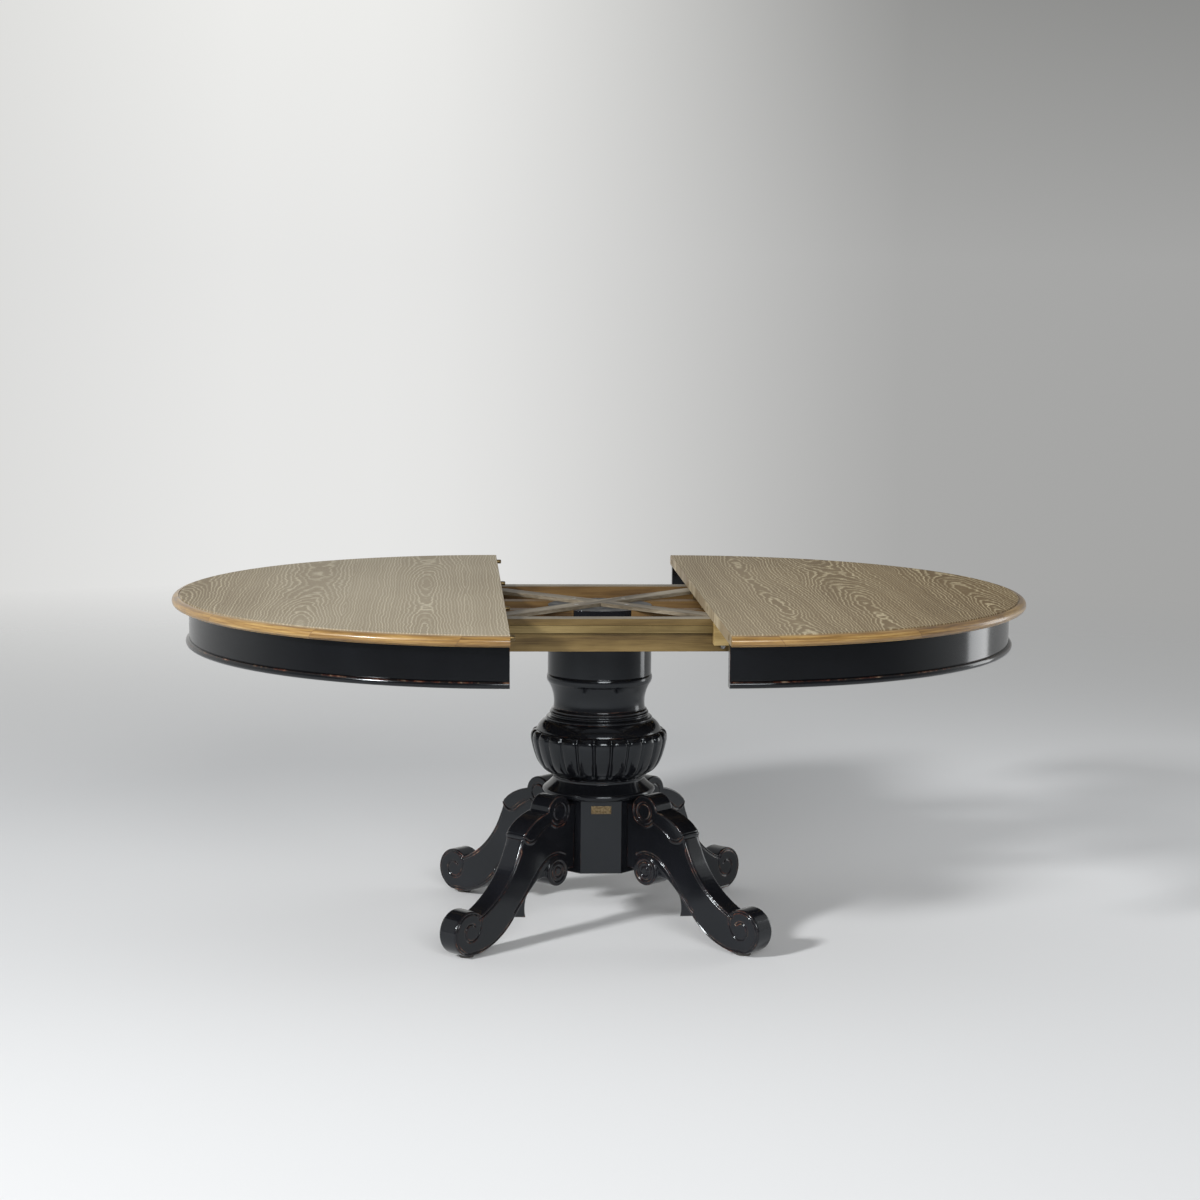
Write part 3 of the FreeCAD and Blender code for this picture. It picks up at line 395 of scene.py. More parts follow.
def black_lacquer(name, edge, blacks=SATIN_BLACK, arris=0.0, bare_top=False):
    """Black lacquer, worn where the edge function finds an edge."""
    material, tree, shader, place = new_finish(name)
    patches = grain(tree, place, scale=22.0, detail=4.0, roughness=0.6)
    flecks = grain(tree, place, scale=300.0)
    worn = sum_of(tree, "MULTIPLY", edge(tree), ramp(tree, patches, [(0.50, 0.04), (0.70, 0.9)]))
    worn = sum_of(tree, "MULTIPLY", worn, ramp(tree, flecks, [(0.3, 0.4), (0.55, 1.0)]))
    cloud = grain(tree, place, scale=7.0, detail=3.0)
    black = ramp(tree, cloud, [(0.3, blacks[0]), (0.7, blacks[1])])
    # Worn colour from red-brown stain to pale bare wood; the pale end is partly painted highlight on the
    # arrises.
    stain_and_painted_highlight = ramp(tree, grain(tree, place, scale=70.0), [
        (0.38, paint(78, 34, 21)), (0.52, paint(138, 76, 47)), (0.66, paint(178, 152, 126))])
    dull = sum_of(tree, "MULTIPLY_ADD", cloud, CLOUD_DULLNESS, DULLNESS)
    colour = blend(tree, worn, black, stain_and_painted_highlight)
    if bare_top:
        smear = ramp(tree, grain(tree, place, scale=30.0, detail=4.0), [
            (0.35, paint(44, 45, 46)), (0.65, paint(92, 91, 89))])
        colour = blend(tree, facing(tree, UP), colour, smear)
        dull = sum_of(tree, "MULTIPLY_ADD", facing(tree, UP), BARE_DULLNESS, dull)
    brush_marks = grain(tree, place, scale=480.0)
    feed(tree, shader, Base_Color=colour,
         Roughness=sum_of(tree, "MULTIPLY_ADD", worn, WORN_DULLNESS, dull),
         Normal=relief(tree, brush_marks, strength=0.06, distance=0.0003, arris=arris))
    shader.inputs["Specular IOR Level"].default_value = 0.42
    shader.inputs["Specular Tint"].default_value = COOL_GLOSS
    return material


plain_lacquer = black_lacquer("black_lacquer_plain", edge_of_solid, arris=ARRIS)
print("lacquer nodes:", len(plain_lacquer.node_tree.nodes))

# %% [markdown]
# ## Plain woods of the frame
# The rails, strips, runners and braces are plain sawn wood with the grain along their length. One
# function makes them all: noise drawn out along the length, in the colours of that wood. The turn
# lays the grain along the slanting braces. Rails are dusty on top, in the grey of the braces.

# %% Straight-grained wood
grey_wood = paint(72, 64, 52), paint(112, 102, 86), paint(154, 145, 128)
brown_wood = paint(72, 56, 32), paint(103, 85, 51), paint(128, 108, 69)
light_wood = paint(134, 110, 66), paint(160, 136, 88), paint(186, 162, 112)
strip_wood = paint(86, 71, 41), paint(107, 91, 56), paint(128, 111, 73)
# Painted shade: a darker brown for the bearers and the back rail, which lie in shade inside the frame.
painted_shade_wood = paint(64, 45, 22), paint(90, 67, 36), paint(110, 86, 50)
FIBRE_RANGE, STAIN_RANGE = 0.3, 0.35


def straight_wood(name, dark, middle, light, turn=0.0, dusty=False):
    """Sawn wood with the grain along X, or turned from it."""
    material, tree, shader, place = new_finish(name)
    bands = grain(tree, stretched(tree, place, (2.2, 34.0, 34.0), turn), detail=4.0, roughness=0.6)
    fibres = grain(tree, stretched(tree, place, (16.0, 420.0, 420.0), turn))
    stains = grain(tree, place, scale=9.0, detail=3.0)
    mixed = sum_of(tree, "ADD", spread(tree, fibres, FIBRE_RANGE), bands)
    mixed = sum_of(tree, "ADD", spread(tree, stains, STAIN_RANGE), mixed)
    colour = ramp(tree, mixed, [(0.3, dark), (0.5, middle), (0.72, light)])
    if dusty:
        dust = ramp(tree, mixed, [(0.3, grey_wood[0]), (0.7, grey_wood[2])])
        colour = blend(tree, facing(tree, UP), colour, dust)
    feed(tree, shader, Base_Color=colour,
         Roughness=ramp(tree, fibres, [(0.3, 0.42), (0.7, 0.6)]),
         Normal=relief(tree, fibres, strength=0.2, distance=0.0003, arris=WOOD_ARRIS))
    shader.inputs["Specular IOR Level"].default_value = 0.2
    return material


long_wood = straight_wood("frame_wood_long", *brown_wood, dusty=True)
print("frame wood nodes:", len(long_wood.node_tree.nodes))

# %% [markdown]
# ## Metals and glides
# The blank plate and the alignment pins are brass that has gone brown in the hollows. The screws,
# studs, nuts and levers are plated steel. One function gives both: noise decides where the metal is
# bright and smooth and where it is tarnished and dull. The glides under the feet are a grey felt.


# %% Metals and glides
def metal(name, bright, dull, spots, low, high):
    """Brushed metal. Spots is the scale of the tarnish, low and high the roughness of bright and dull."""
    material, tree, shader, place = new_finish(name)
    tarnish = grain(tree, place, scale=spots, detail=4.0, roughness=0.65)
    brushed = grain(tree, stretched(tree, place, (90.0, 1400.0, 1400.0)))
    feed(tree, shader, Base_Color=ramp(tree, tarnish, [(0.36, dull), (0.6, bright)]),
         Roughness=ramp(tree, tarnish, [(0.35, high), (0.65, low)]),
         Normal=relief(tree, brushed, strength=0.08, distance=0.0002))
    shader.inputs["Metallic"].default_value = 1.0
    return material


def glide_pad():
    """The grey felt under the feet."""
    material, tree, shader, place = new_finish("glide_pad")
    fibres = grain(tree, place, scale=700.0, detail=3.0)
    feed(tree, shader, Base_Color=ramp(tree, fibres, [(0.3, paint(58, 56, 54)), (0.7, paint(92, 90, 86))]),
         Normal=relief(tree, fibres, strength=0.5, distance=0.0006))
    shader.inputs["Roughness"].default_value = 0.85
    return material


tarnished_brass = metal("brass_tarnished", paint(166, 140, 92), paint(92, 73, 44), 160.0, 0.26, 0.5)
plated_steel = metal("steel_plated", paint(188, 188, 186), paint(120, 118, 114), 90.0, 0.22, 0.42)
print("metal nodes:", len(tarnished_brass.node_tree.nodes))

# %% [markdown]
# ## Which solid gets which finish
# The record gives each solid a slot. Most slots are one finish, and a few pieces have their own: the
# braces lie on a slant and have gone grey, the cross members run across, the bearers and the back rail
# are a darker brown as painted shade inside the frame, and the aprons are a deeper black than the base.

# %% Finish the solids
ACROSS = math.pi / 2
BRACE_SLANT = math.atan2(0.312, 0.24)
slot_finishes = {
    "ash_veneer": veneer,
    "honey_edge": honey,
    "black_lacquer": plain_lacquer,
    "frame_wood": long_wood,
    "pale_wood": straight_wood("pale_wood_long", *light_wood),
    "brass": tarnished_brass,
    "steel": plated_steel,
    "glide": glide_pad(),
}
own_finishes = {
    "rising_brace": straight_wood("grey_wood_rising", *grey_wood, turn=-BRACE_SLANT),
    "falling_brace": straight_wood("grey_wood_falling", *grey_wood, turn=BRACE_SLANT),
    # The back rail's darker brown is painted shade.
    "back_rail": straight_wood("frame_wood_back_rail_painted_shade", *painted_shade_wood, dusty=True),
    "front_guide_strip": straight_wood("frame_wood_front_guide_strip", *strip_wood),
    "back_guide_strip": straight_wood("frame_wood_back_guide_strip", *strip_wood),
    "neck_and_drum": black_lacquer("black_lacquer_drum", edge_of_solid, arris=ARRIS, bare_top=True),
    "blank_plate": metal("brass_plate", paint(134, 118, 90), paint(82, 69, 50), 220.0, 0.3, 0.5),
    "alignment_pins": metal("brass_pins", paint(122, 104, 72), paint(66, 54, 36), 160.0, 0.32, 0.55),
}
# The bearers' darker brown is painted shade.
painted_shade_inner_wood = straight_wood("frame_wood_inner_painted_shade", *painted_shade_wood)
across_wood = straight_wood("frame_wood_across", *brown_wood, turn=ACROSS)
for side in ("left", "right"):
    own_finishes[side + "_bearers"] = painted_shade_inner_wood
    own_finishes[side + "_cross_member"] = across_wood
    own_finishes[side + "_apron"] = black_lacquer(
        "black_lacquer_" + side, edge_of_solid, DEEP_BLACK, ARRIS)
    own_finishes[side + "_apron_bead"] = black_lacquer(
        "black_lacquer_bead_" + side, edge_of_bead, DEEP_BLACK, ARRIS)
for name, solid in nodes.items():
    for slot in solid.material_slots:
        slot.material = own_finishes.get(name, slot_finishes[slot.material.name.split(".")[0]])
print("slots:", len(slot_finishes), "pieces with their own finish:", len(own_finishes))

# %% [markdown]
# ## Arcs and curves
# Each leg is sawn from a thick board and carved, and the carving can be drawn as lines in the plane
# of the leg. An arc needs a centre and a radius. A freer line is a Bezier curve through a few points,
# which Blender itself turns into short straight runs.


# %% Draw arcs and curves
def arc_points(centre, radius, start, end, count=64):
    """Points along an arc in the plane of the leg, in degrees."""
    angles = np.radians(np.linspace(start, end, count))
    return np.column_stack([centre[0] + radius * np.cos(angles), centre[1] + radius * np.sin(angles)])


def curve_points(*corners, count=60):
    """A smooth line through a few points, read off a Bezier curve."""
    curve = bpy.data.curves.new("line", "CURVE")
    spline = curve.splines.new("BEZIER")
    spline.bezier_points.add(len(corners) - 1)
    spline.resolution_u = count // max(len(corners) - 1, 1)
    for point, (out, up) in zip(spline.bezier_points, corners):
        point.co = (out, 0.0, up)
        point.handle_left_type = point.handle_right_type = "AUTO"
    holder = bpy.data.objects.new("line", curve)
    mesh = bpy.data.meshes.new_from_object(holder)
    points = np.array([vertex.co[:] for vertex in mesh.vertices])[:, [0, 2]]
    bpy.data.objects.remove(holder)
    bpy.data.curves.remove(curve)
    bpy.data.meshes.remove(mesh)
    return points


# %% [markdown]
# ## Lines of the carving
# A leaf runs from the upper volute to the waist, a line follows the arch below, a scroll winds into
# the foot, and rings are cut into the volutes. Places are in metres, out from the middle of the table
# and up from the floor. The scroll is given as turns, with the distance from its centre at each.

# %% Draw the carved lines
upper_volute = (0.1645, 0.289)
lower_volute = (0.168, 0.152)
foot_scroll = (0.4455, 0.060)
foot_turns = (
    (135, 0.043), (158, 0.0325), (180, 0.0265), (205, 0.0230), (235, 0.0212), (270, 0.0203),
    (315, 0.0198), (360, 0.0196), (405, 0.0193), (450, 0.0186), (490, 0.0165))
foot_corners = [(foot_scroll[0] + out * math.cos(math.radians(turn)),
                 foot_scroll[1] + out * math.sin(math.radians(turn))) for turn, out in foot_turns]
foot_spiral = curve_points(*foot_corners, count=120)
leaf_groove = curve_points(
    (0.2765, 0.2445), (0.2708, 0.2403), (0.2620, 0.2359), (0.2571, 0.2352), (0.2513, 0.2357),
    (0.2456, 0.2376), (0.2400, 0.2414), (0.2290, 0.2502), (0.2161, 0.2585), (0.2026, 0.2652),
    (0.1895, 0.2715), count=100)
arch_line = curve_points(
    (0.309, 0.0805), (0.268, 0.122), (0.238, 0.157), (0.208, 0.183), (0.185, 0.192),
    (0.162, 0.193), (0.142, 0.186), count=90)
carved_lines = [
    foot_spiral, leaf_groove, arch_line,
    arc_points(upper_volute, 0.0305, -35, -200), arc_points(upper_volute, 0.0195, 0, 360),
    arc_points(lower_volute, 0.0115, 0, 360), arc_points(lower_volute, 0.0225, 0, 360),
]
print("carved lines:", len(carved_lines), "points:", sum(len(line) for line in carved_lines))

# %% [markdown]
# ## The outline of a leg
# The solid gives the form. A copy of one leg is turned into its own plane, and the section through
# the middle of the board is kept as the outline of the leg, because the carved border follows it at a
# fixed distance. A tree of close points answers quickly how far away the outline is.

# %% Copy one leg and take its outline
OUTLINE_STEP = 0.0007
leg_angles = {"back_right_leg": 45, "back_left_leg": 135, "front_left_leg": 225, "front_right_leg": 315}


def leg_copy(node):
    """A copy of a leg's solid with its loose triangles joined, turned into the XZ plane."""
    work = bmesh.new()
    work.from_mesh(nodes[node].data)
    bmesh.ops.remove_doubles(work, verts=work.verts, dist=1e-6)
    turn = -math.radians(leg_angles[node])
    bmesh.ops.transform(work, matrix=Matrix.Rotation(turn, 4, "Z"), verts=work.verts)
    return work


def outline_tree(work):
    """The section through the middle of the board, as a tree of close points in the plane."""
    section = work.copy()
    cut = bmesh.ops.bisect_plane(section, geom=section.verts[:] + section.edges[:] + section.faces[:],
                                 plane_co=(0, 0, 0), plane_no=(0, 1, 0))["geom_cut"]
    points = []
    for edge in (item for item in cut if isinstance(item, bmesh.types.BMEdge)):
        start, end = (vertex.co for vertex in edge.verts)
        pieces = max(1, math.ceil((end - start).length / OUTLINE_STEP))
        points += [start.lerp(end, step / pieces) for step in range(pieces)]
    section.free()
    print("outline points:", len(points))
    tree = KDTree(len(points))
    for place, point in enumerate(points):
        tree.insert((point.x, 0.0, point.z), place)
    tree.balance()
    return tree


leg_work = leg_copy("front_left_leg")
leg_outline = outline_tree(leg_work)

# %% [markdown]
# ## Even faces to carve in
# The triangles of the solid are too large to carve. Plugs close the shallow scrolls of the solid, so
# that finer ones can be cut, and a voxel remesh turns it all into small even faces.

# %% Remesh one leg
BOARD, RAISED = 0.052, 0.058
VOXEL = 0.0011
FOOT_PLUG, UPPER_PLUG, LOWER_PLUG = 0.0455, 0.0335, 0.0305


def plug(work, centre, radius, thickness):
    """Closes a scroll of the solid with a flat disc across the board."""
    lie = Matrix.Translation((centre[0], 0, centre[1])) @ Matrix.Rotation(math.pi / 2, 4, "X")
    bmesh.ops.create_cone(work, cap_ends=True, segments=128, radius1=radius, radius2=radius,
                          depth=thickness, matrix=lie)


def changed(mesh, kind, **settings):
    """The mesh as one modifier leaves it."""
    holder = bpy.data.objects.new("holder", mesh)
    bpy.context.scene.collection.objects.link(holder)
    modifier = holder.modifiers.new("change", kind)
    for name, value in settings.items():
        setattr(modifier, name, value)
    result = bpy.data.meshes.new_from_object(holder.evaluated_get(bpy.context.evaluated_depsgraph_get()))
    bpy.data.objects.remove(holder)
    return result


plug(leg_work, foot_scroll, FOOT_PLUG, BOARD)
plug(leg_work, upper_volute, UPPER_PLUG, RAISED)
plug(leg_work, lower_volute, LOWER_PLUG, RAISED)
leg_mesh = bpy.data.meshes.new("leg")
leg_work.to_mesh(leg_mesh)
leg_work.free()
leg_mesh = changed(leg_mesh, "REMESH", mode="VOXEL", voxel_size=VOXEL)
print("leg faces:", len(leg_mesh.polygons))

# %% [markdown]
# ## Vertices as arrays
# The remeshed leg has too many vertices to move one by one. So their places are held in one array,
# and the two ends of all edges in two more. From these, the mean of every vertex's neighbours comes
# in one go, which is all that easing and wear need.


# %% Vertices as arrays
class Surface:
    """The vertices of a mesh, and which are neighbours, as arrays."""

    def __init__(self, mesh):
        self.mesh = mesh
        self.places = np.empty(len(mesh.vertices) * 3)
        mesh.vertices.foreach_get("co", self.places)
        self.places = self.places.reshape(-1, 3)
        ends = np.empty(len(mesh.edges) * 2, dtype=np.int64)
        mesh.edges.foreach_get("vertices", ends)
        self.first, self.second = ends.reshape(-1, 2).T
        self.count = np.bincount(ends, minlength=len(self.places))[:, None]

    def mean(self, values):
        """For each vertex, the mean of its neighbours' values."""
        size = len(self.places)
        columns = []
        for column in values.T:
            forward = np.bincount(self.first, column[self.second], size)
            backward = np.bincount(self.second, column[self.first], size)
            columns.append(forward + backward)
        return np.column_stack(columns) / self.count

    def keep(self):
        """Writes the places back to the mesh."""
        self.mesh.vertices.foreach_set("co", self.places.ravel())
        self.mesh.update()


leg = Surface(leg_mesh)
print("leg vertices:", len(leg.places))

# %% [markdown]
# ## Easing the waist
# A worked leg has no hard corner at its waist. All vertices are first drawn a little to the mean of
# their neighbours, which eases every arris, and those at the waist again and again. Two small notches
# mark the end of the leaf there.

# %% Ease the leg
PLANE = [0, 2]
WAIST, WAIST_REACH = np.array((0.2850, 0.2470)), 0.030
EASE_ROUNDS, WAIST_ROUNDS = 4, 120
EASE_PULL, WAIST_PULL = 0.5, 0.7
NOTCHES = (0.2795, 0.2520), (0.2838, 0.2440)
NOTCH_WAY = np.array((0.84, 0.54))
NOTCH_DEPTH, NOTCH_RADIUS = 0.0020, 0.0022
for step in range(EASE_ROUNDS):
    leg.places += EASE_PULL * (leg.mean(leg.places) - leg.places)
from_waist = np.linalg.norm(leg.places[:, PLANE] - WAIST, axis=1)
share = np.clip(1 - from_waist / WAIST_REACH, 0.0, 1.0)[:, None]
for step in range(WAIST_ROUNDS):
    eased = share * (leg.mean(leg.places) - leg.places) * WAIST_PULL
    leg.places[:, PLANE] += eased[:, PLANE]
for middle in NOTCHES:
    gap = np.linalg.norm(leg.places[:, PLANE] - np.array(middle), axis=1)
    leg.places[:, PLANE] -= NOTCH_WAY * NOTCH_DEPTH * np.exp(-(gap / NOTCH_RADIUS) ** 2)[:, None]
print("vertices eased at the waist:", int((share > 0).sum()))

# %% [markdown]
# ## Pressing the lines in
# A carver cuts the lines with a gouge into both faces of the board. Here every vertex of a face is
# pressed in by a soft groove that depends on its distance from the nearest line. The border needs no
# line of its own: it is wherever the outline is a fixed distance away, along the sweep and the foot.

# %% Press the lines in
GROOVE_DEPTH, GROOVE_WIDTH, GROOVE_REACH = 0.0024, 0.0017, 0.012
LIP, LIP_WIDTH = 0.0029, 0.0009
BORDER = 0.0052
FACE = 0.0205
FOOT_START, SWEEP_START, SWEEP_LEVEL = 0.314, 0.2875, 0.13
FAR_AWAY = 1.0
SETTLE_PULL = 0.25


def gap_to_line(places, line):
    """How far each place is from a line of short straight runs."""
    nearest = np.full(len(places), FAR_AWAY)
    for start, end in zip(line[:-1], line[1:]):
        near = np.abs(places - (start + end) / 2).max(axis=1) < GROOVE_REACH
        run = end - start
        along = np.clip(((places[near] - start) @ run) / max(run @ run, 1e-12), 0.0, 1.0)
        gap = np.linalg.norm(places[near] - (start + along[:, None] * run), axis=1)
        nearest[near] = np.minimum(nearest[near], gap)
    return nearest


faces = np.abs(leg.places[:, 1]) > FACE
flat = leg.places[faces][:, PLANE]
gaps = [gap_to_line(flat, line) for line in carved_lines]
inset = np.array([leg_outline.find((out, 0.0, up))[2] for out, up in flat])
on_sweep = (flat[:, 0] > SWEEP_START) & (flat[:, 1] > SWEEP_LEVEL)
bordered = (flat[:, 0] > FOOT_START) | on_sweep
gaps.append(np.where(bordered, np.abs(inset - BORDER), FAR_AWAY))
nearest = np.full(len(leg.places), FAR_AWAY)
nearest[faces] = np.min(gaps, axis=0)
pressed = np.exp(-(nearest / GROOVE_WIDTH) ** 2)
lips = np.exp(-((nearest - LIP) / LIP_WIDTH) ** 2)
leg.places[:, 1] -= np.sign(leg.places[:, 1]) * GROOVE_DEPTH * pressed
leg.places += SETTLE_PULL * (leg.mean(leg.places) - leg.places)
leg.keep()
print("carved vertices:", int((pressed > 0.5).sum()))

# %% [markdown]
# ## Where the lacquer is rubbed through
# A rubbing cloth takes the lacquer off what stands out. For every vertex, the mean of its neighbours
# lies below the surface on an arris and above it in a groove, so that height is stored as `rub`. The
# lips of the carved lines are added, partly as wear and partly as painted highlight on their ridges.
# Then flat places, which need few faces, are thinned out.

# %% Measure the rubbed edges
RUB_ROUNDS = 4
LEG_RUB = (0.00012, 0.0004)
# The lips' extra rub is partly wear and partly painted highlight along their ridges.
LIP_WEAR_AND_HIGHLIGHT = 0.55
KEPT_FACES = 0.5


def store_rub(surface, low, high, extra=0.0):
    """Stores on each vertex how far it stands out from its surroundings, from 0 to 1."""
    mesh = surface.mesh
    normals = np.empty(len(mesh.vertices) * 3)
    mesh.vertices.foreach_get("normal", normals)
    mean = surface.places
    for step in range(RUB_ROUNDS):
        mean = surface.mean(mean)
    height = ((surface.places - mean) * normals.reshape(-1, 3)).sum(axis=1)
    rub = np.maximum(np.clip((height - low) / (high - low), 0.0, 1.0), extra)
    mesh.attributes.new("rub", "FLOAT", "POINT").data.foreach_set("value", rub)
    print(mesh.name, "rubbed share:", round(float((rub > 0.5).mean()), 3))


def shade_soft(mesh):
    """Lets the light run smoothly over all faces."""
    mesh.polygons.foreach_set("use_smooth", [True] * len(mesh.polygons))
    mesh.update()


store_rub(leg, *LEG_RUB, LIP_WEAR_AND_HIGHLIGHT * lips * (1 - pressed))
leg_mesh = changed(leg_mesh, "DECIMATE", ratio=KEPT_FACES)
shade_soft(leg_mesh)
print("thinned leg faces:", len(leg_mesh.polygons))

# %% [markdown]
# ## Setting the four legs
# All four legs are alike, so the carved mesh is copied and turned about the middle of the table. Each
# copy takes the place of its own solid, and rides on the same body. The place is in the mesh, and the
# object itself stays at the origin.


# %% Set the four legs
def set_piece(name, mesh, finish, body, node):
    """Puts a finished mesh in the scene in place of a solid."""
    mesh.materials.clear()
    mesh.materials.append(finish)
    piece = bpy.data.objects.new(name, mesh)
    bpy.context.scene.collection.objects.link(piece)
    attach(piece, body)
    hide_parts(node)
    print(name, "faces:", len(mesh.polygons))


carved_lacquer = black_lacquer("black_lacquer_carved", edge_of_mesh)
for name, angle in leg_angles.items():
    mesh = leg_mesh.copy()
    mesh.transform(Matrix.Rotation(math.radians(angle), 4, "Z"))
    set_piece(name + "_carved", mesh, carved_lacquer, "base", name)

# %% [markdown]
# ## Turning a profile
# The bowl and the edge mouldings are both turned work: a profile goes round an axis. The spin operator
# does that. A whole turn closes on itself, and half a turn is a bar with two ends to fill.


# %% Spin a profile
def spun(name, profile, steps, turn):
    """A chain of (distance, level) points spun about Z, with its open ends filled."""
    work = bmesh.new()
    chain = [work.verts.new((out, 0.0, level)) for out, level in profile]
    edges = [work.edges.new(pair) for pair in zip(chain, chain[1:])]
    if turn < 2 * math.pi:
        edges.append(work.edges.new((chain[-1], chain[0])))
    bmesh.ops.spin(work, geom=chain + edges, cent=(0, 0, 0), axis=(0, 0, 1), angle=turn, steps=steps,
                   use_merge=turn == 2 * math.pi)
    open_edges = [edge for edge in work.edges if edge.is_boundary]
    bmesh.ops.holes_fill(work, edges=open_edges, sides=0)
    bmesh.ops.recalc_face_normals(work, faces=work.faces)
    mesh = bpy.data.meshes.new(name)
    work.to_mesh(mesh)
    work.free()
    return mesh


# %% [markdown]
# ## The gadrooned bowl
# The bowl is turned first and carved afterwards: twenty-four broad lobes, almost flat, with narrow
# grooves between them that open out at the top. So the mesh is made the same way, and first a profile
# is spun into a bowl of many narrow faces. The profile is given in shares of the radius and the height.

# %% Spin the bowl
LOBES, FACES_PER_LOBE = 24, 20
BOWL_FOOT, BOWL_HEIGHT, BOWL_RADIUS = 0.349, 0.109, 0.158
BOWL_SHARES = (
    (0.66, 0.0), (0.668, 0.03), (0.738, 0.09), (0.812, 0.16), (0.859, 0.23), (0.892, 0.30), (0.916, 0.37),
    (0.938, 0.45), (0.962, 0.56), (0.985, 0.69), (1.0, 0.82), (0.992, 0.92), (0.962, 0.978), (0.905, 1.0))
bowl_corners = [(share * BOWL_RADIUS, BOWL_FOOT + up * BOWL_HEIGHT) for share, up in BOWL_SHARES]
bowl_profile = curve_points(*bowl_corners, count=104)
bowl_mesh = spun("gadroon_bowl_carved", bowl_profile, LOBES * FACES_PER_LOBE, 2 * math.pi)
print("bowl faces:", len(bowl_mesh.polygons))

# %% [markdown]
# ## Carving the lobes
# Every vertex is moved in by the depth of the groove at its place: deepest half-way between two lobes,
# and wider near the top. The lobes swell a little between the grooves. The carving fades out at the
# foot and at the upper edge, where the gouge was lifted.

# %% Carve the lobes
FLUTE_WIDTH, FLUTE_FLARE, FLUTE_DEPTH = 0.0034, 0.004, 0.0062
LOBE_SWELL = 0.0022
BOWL_RUB = (0.001, 0.004)
bowl = Surface(bowl_mesh)
places = bowl.places
out = np.hypot(places[:, 0], places[:, 1])
turn = np.arctan2(places[:, 1], places[:, 0])
lobe = 2 * math.pi / LOBES
off_middle = ((turn / lobe + 0.5) % 1.0 - 0.5) * lobe
climb = (places[:, 2] - BOWL_FOOT) / BOWL_HEIGHT
flute_width = FLUTE_WIDTH + FLUTE_FLARE * np.clip((climb - 0.8) / 0.2, 0.0, 1.0) ** 2
flute = np.exp(-((lobe / 2 - np.abs(off_middle)) * out / flute_width) ** 2)
fullness = np.interp(climb, (0.0, 0.06, 0.3, 0.94, 1.0), (0.1, 0.5, 1.0, 1.0, 0.5))
inward = fullness * (FLUTE_DEPTH * flute + LOBE_SWELL * (2 * off_middle / lobe) ** 2)
places[:, :2] *= ((out - inward) / out)[:, None]
bowl.keep()
store_rub(bowl, *BOWL_RUB)
shade_soft(bowl_mesh)
set_piece("gadroon_bowl_carved", bowl_mesh, carved_lacquer, "base", "gadroon_bowl")

# %% [markdown]
# ## The edge moulding
# Round each half runs a bullnose of solid wood, with a fine quirk cut between it and the veneer and a
# small fillet below. Half a turn of the profile makes one moulding, and its two ends are filled, as
# the saw left them.

# %% Spin the mouldings
MOULDING_STEPS = 180
CREASE = math.radians(38)
nose = curve_points(
    (0.7418, 0.7580), (0.7462, 0.7592), (0.7492, 0.7632), (0.7499, 0.7675), (0.7482, 0.7722),
    (0.7440, 0.7760), (0.7385, 0.7780), (0.7356, 0.7782), count=56)
fillet = [(0.7321, 0.7560), (0.7402, 0.7560), (0.7408, 0.7572)]
quirk = [(0.7350, 0.7776), (0.7346, 0.7762), (0.7332, 0.7760), (0.7321, 0.7766)]
moulding_profile = [*fillet, *nose, *quirk]
for name, body, start, side in (("right", "right_top", -90, 1), ("left", "left_top", 90, -1)):
    mesh = spun(name + "_edge_bullnose", moulding_profile, MOULDING_STEPS, math.pi)
    centre = Matrix.Translation((side * HALF_GAP, 0, 0))
    mesh.transform(centre @ Matrix.Rotation(math.radians(start), 4, "Z"))
    shade_soft(mesh)
    mesh.set_sharp_from_angle(angle=CREASE)
    set_piece(name + "_edge_bullnose", mesh, honey, body, name + "_edge_moulding")

# %% [markdown]
# ## The blank plate
# A small brass plate is pinned to the front of the block. It is left bare: a thin raised rim round a
# sunken field. A cube scaled to the plate is bevelled, and its front face is inset and pushed in.

# %% Make the plate
PLATE_SIZE = (0.046, 0.0015, 0.018)
PLATE_PLACE = (0.0, -0.11275, 0.288)
PLATE_ARRIS = 0.0004
RIM, RIM_SLOPE = 0.0012, 0.0004
FIELD_DEPTH = 0.0005
work = bmesh.new()
bmesh.ops.create_cube(work, size=1.0)
bmesh.ops.scale(work, vec=PLATE_SIZE, verts=work.verts)
bmesh.ops.translate(work, vec=PLATE_PLACE, verts=work.verts)
bmesh.ops.bevel(work, geom=work.edges[:], offset=PLATE_ARRIS, segments=2, profile=0.5, affect="EDGES",
                material=-1)
front = max((face for face in work.faces if face.normal.y < -0.9), key=lambda face: face.calc_area())
bmesh.ops.inset_region(work, faces=[front], thickness=RIM, use_even_offset=True)
bmesh.ops.inset_region(work, faces=[front], thickness=RIM_SLOPE, use_even_offset=True)
bmesh.ops.translate(work, vec=(0.0, FIELD_DEPTH, 0.0), verts=front.verts)
plate_mesh = bpy.data.meshes.new("blank_plate_rimmed")
work.to_mesh(plate_mesh)
work.free()
set_piece("blank_plate_rimmed", plate_mesh, own_finishes["blank_plate"], "base", "blank_plate")

# %% [markdown]
# ## The floor
# The table stands on a plain pale floor that fades into the room, so that no edge of it shows. It can
# only be seen from above: from below it is clear, so that the frame and the catches can be looked at.

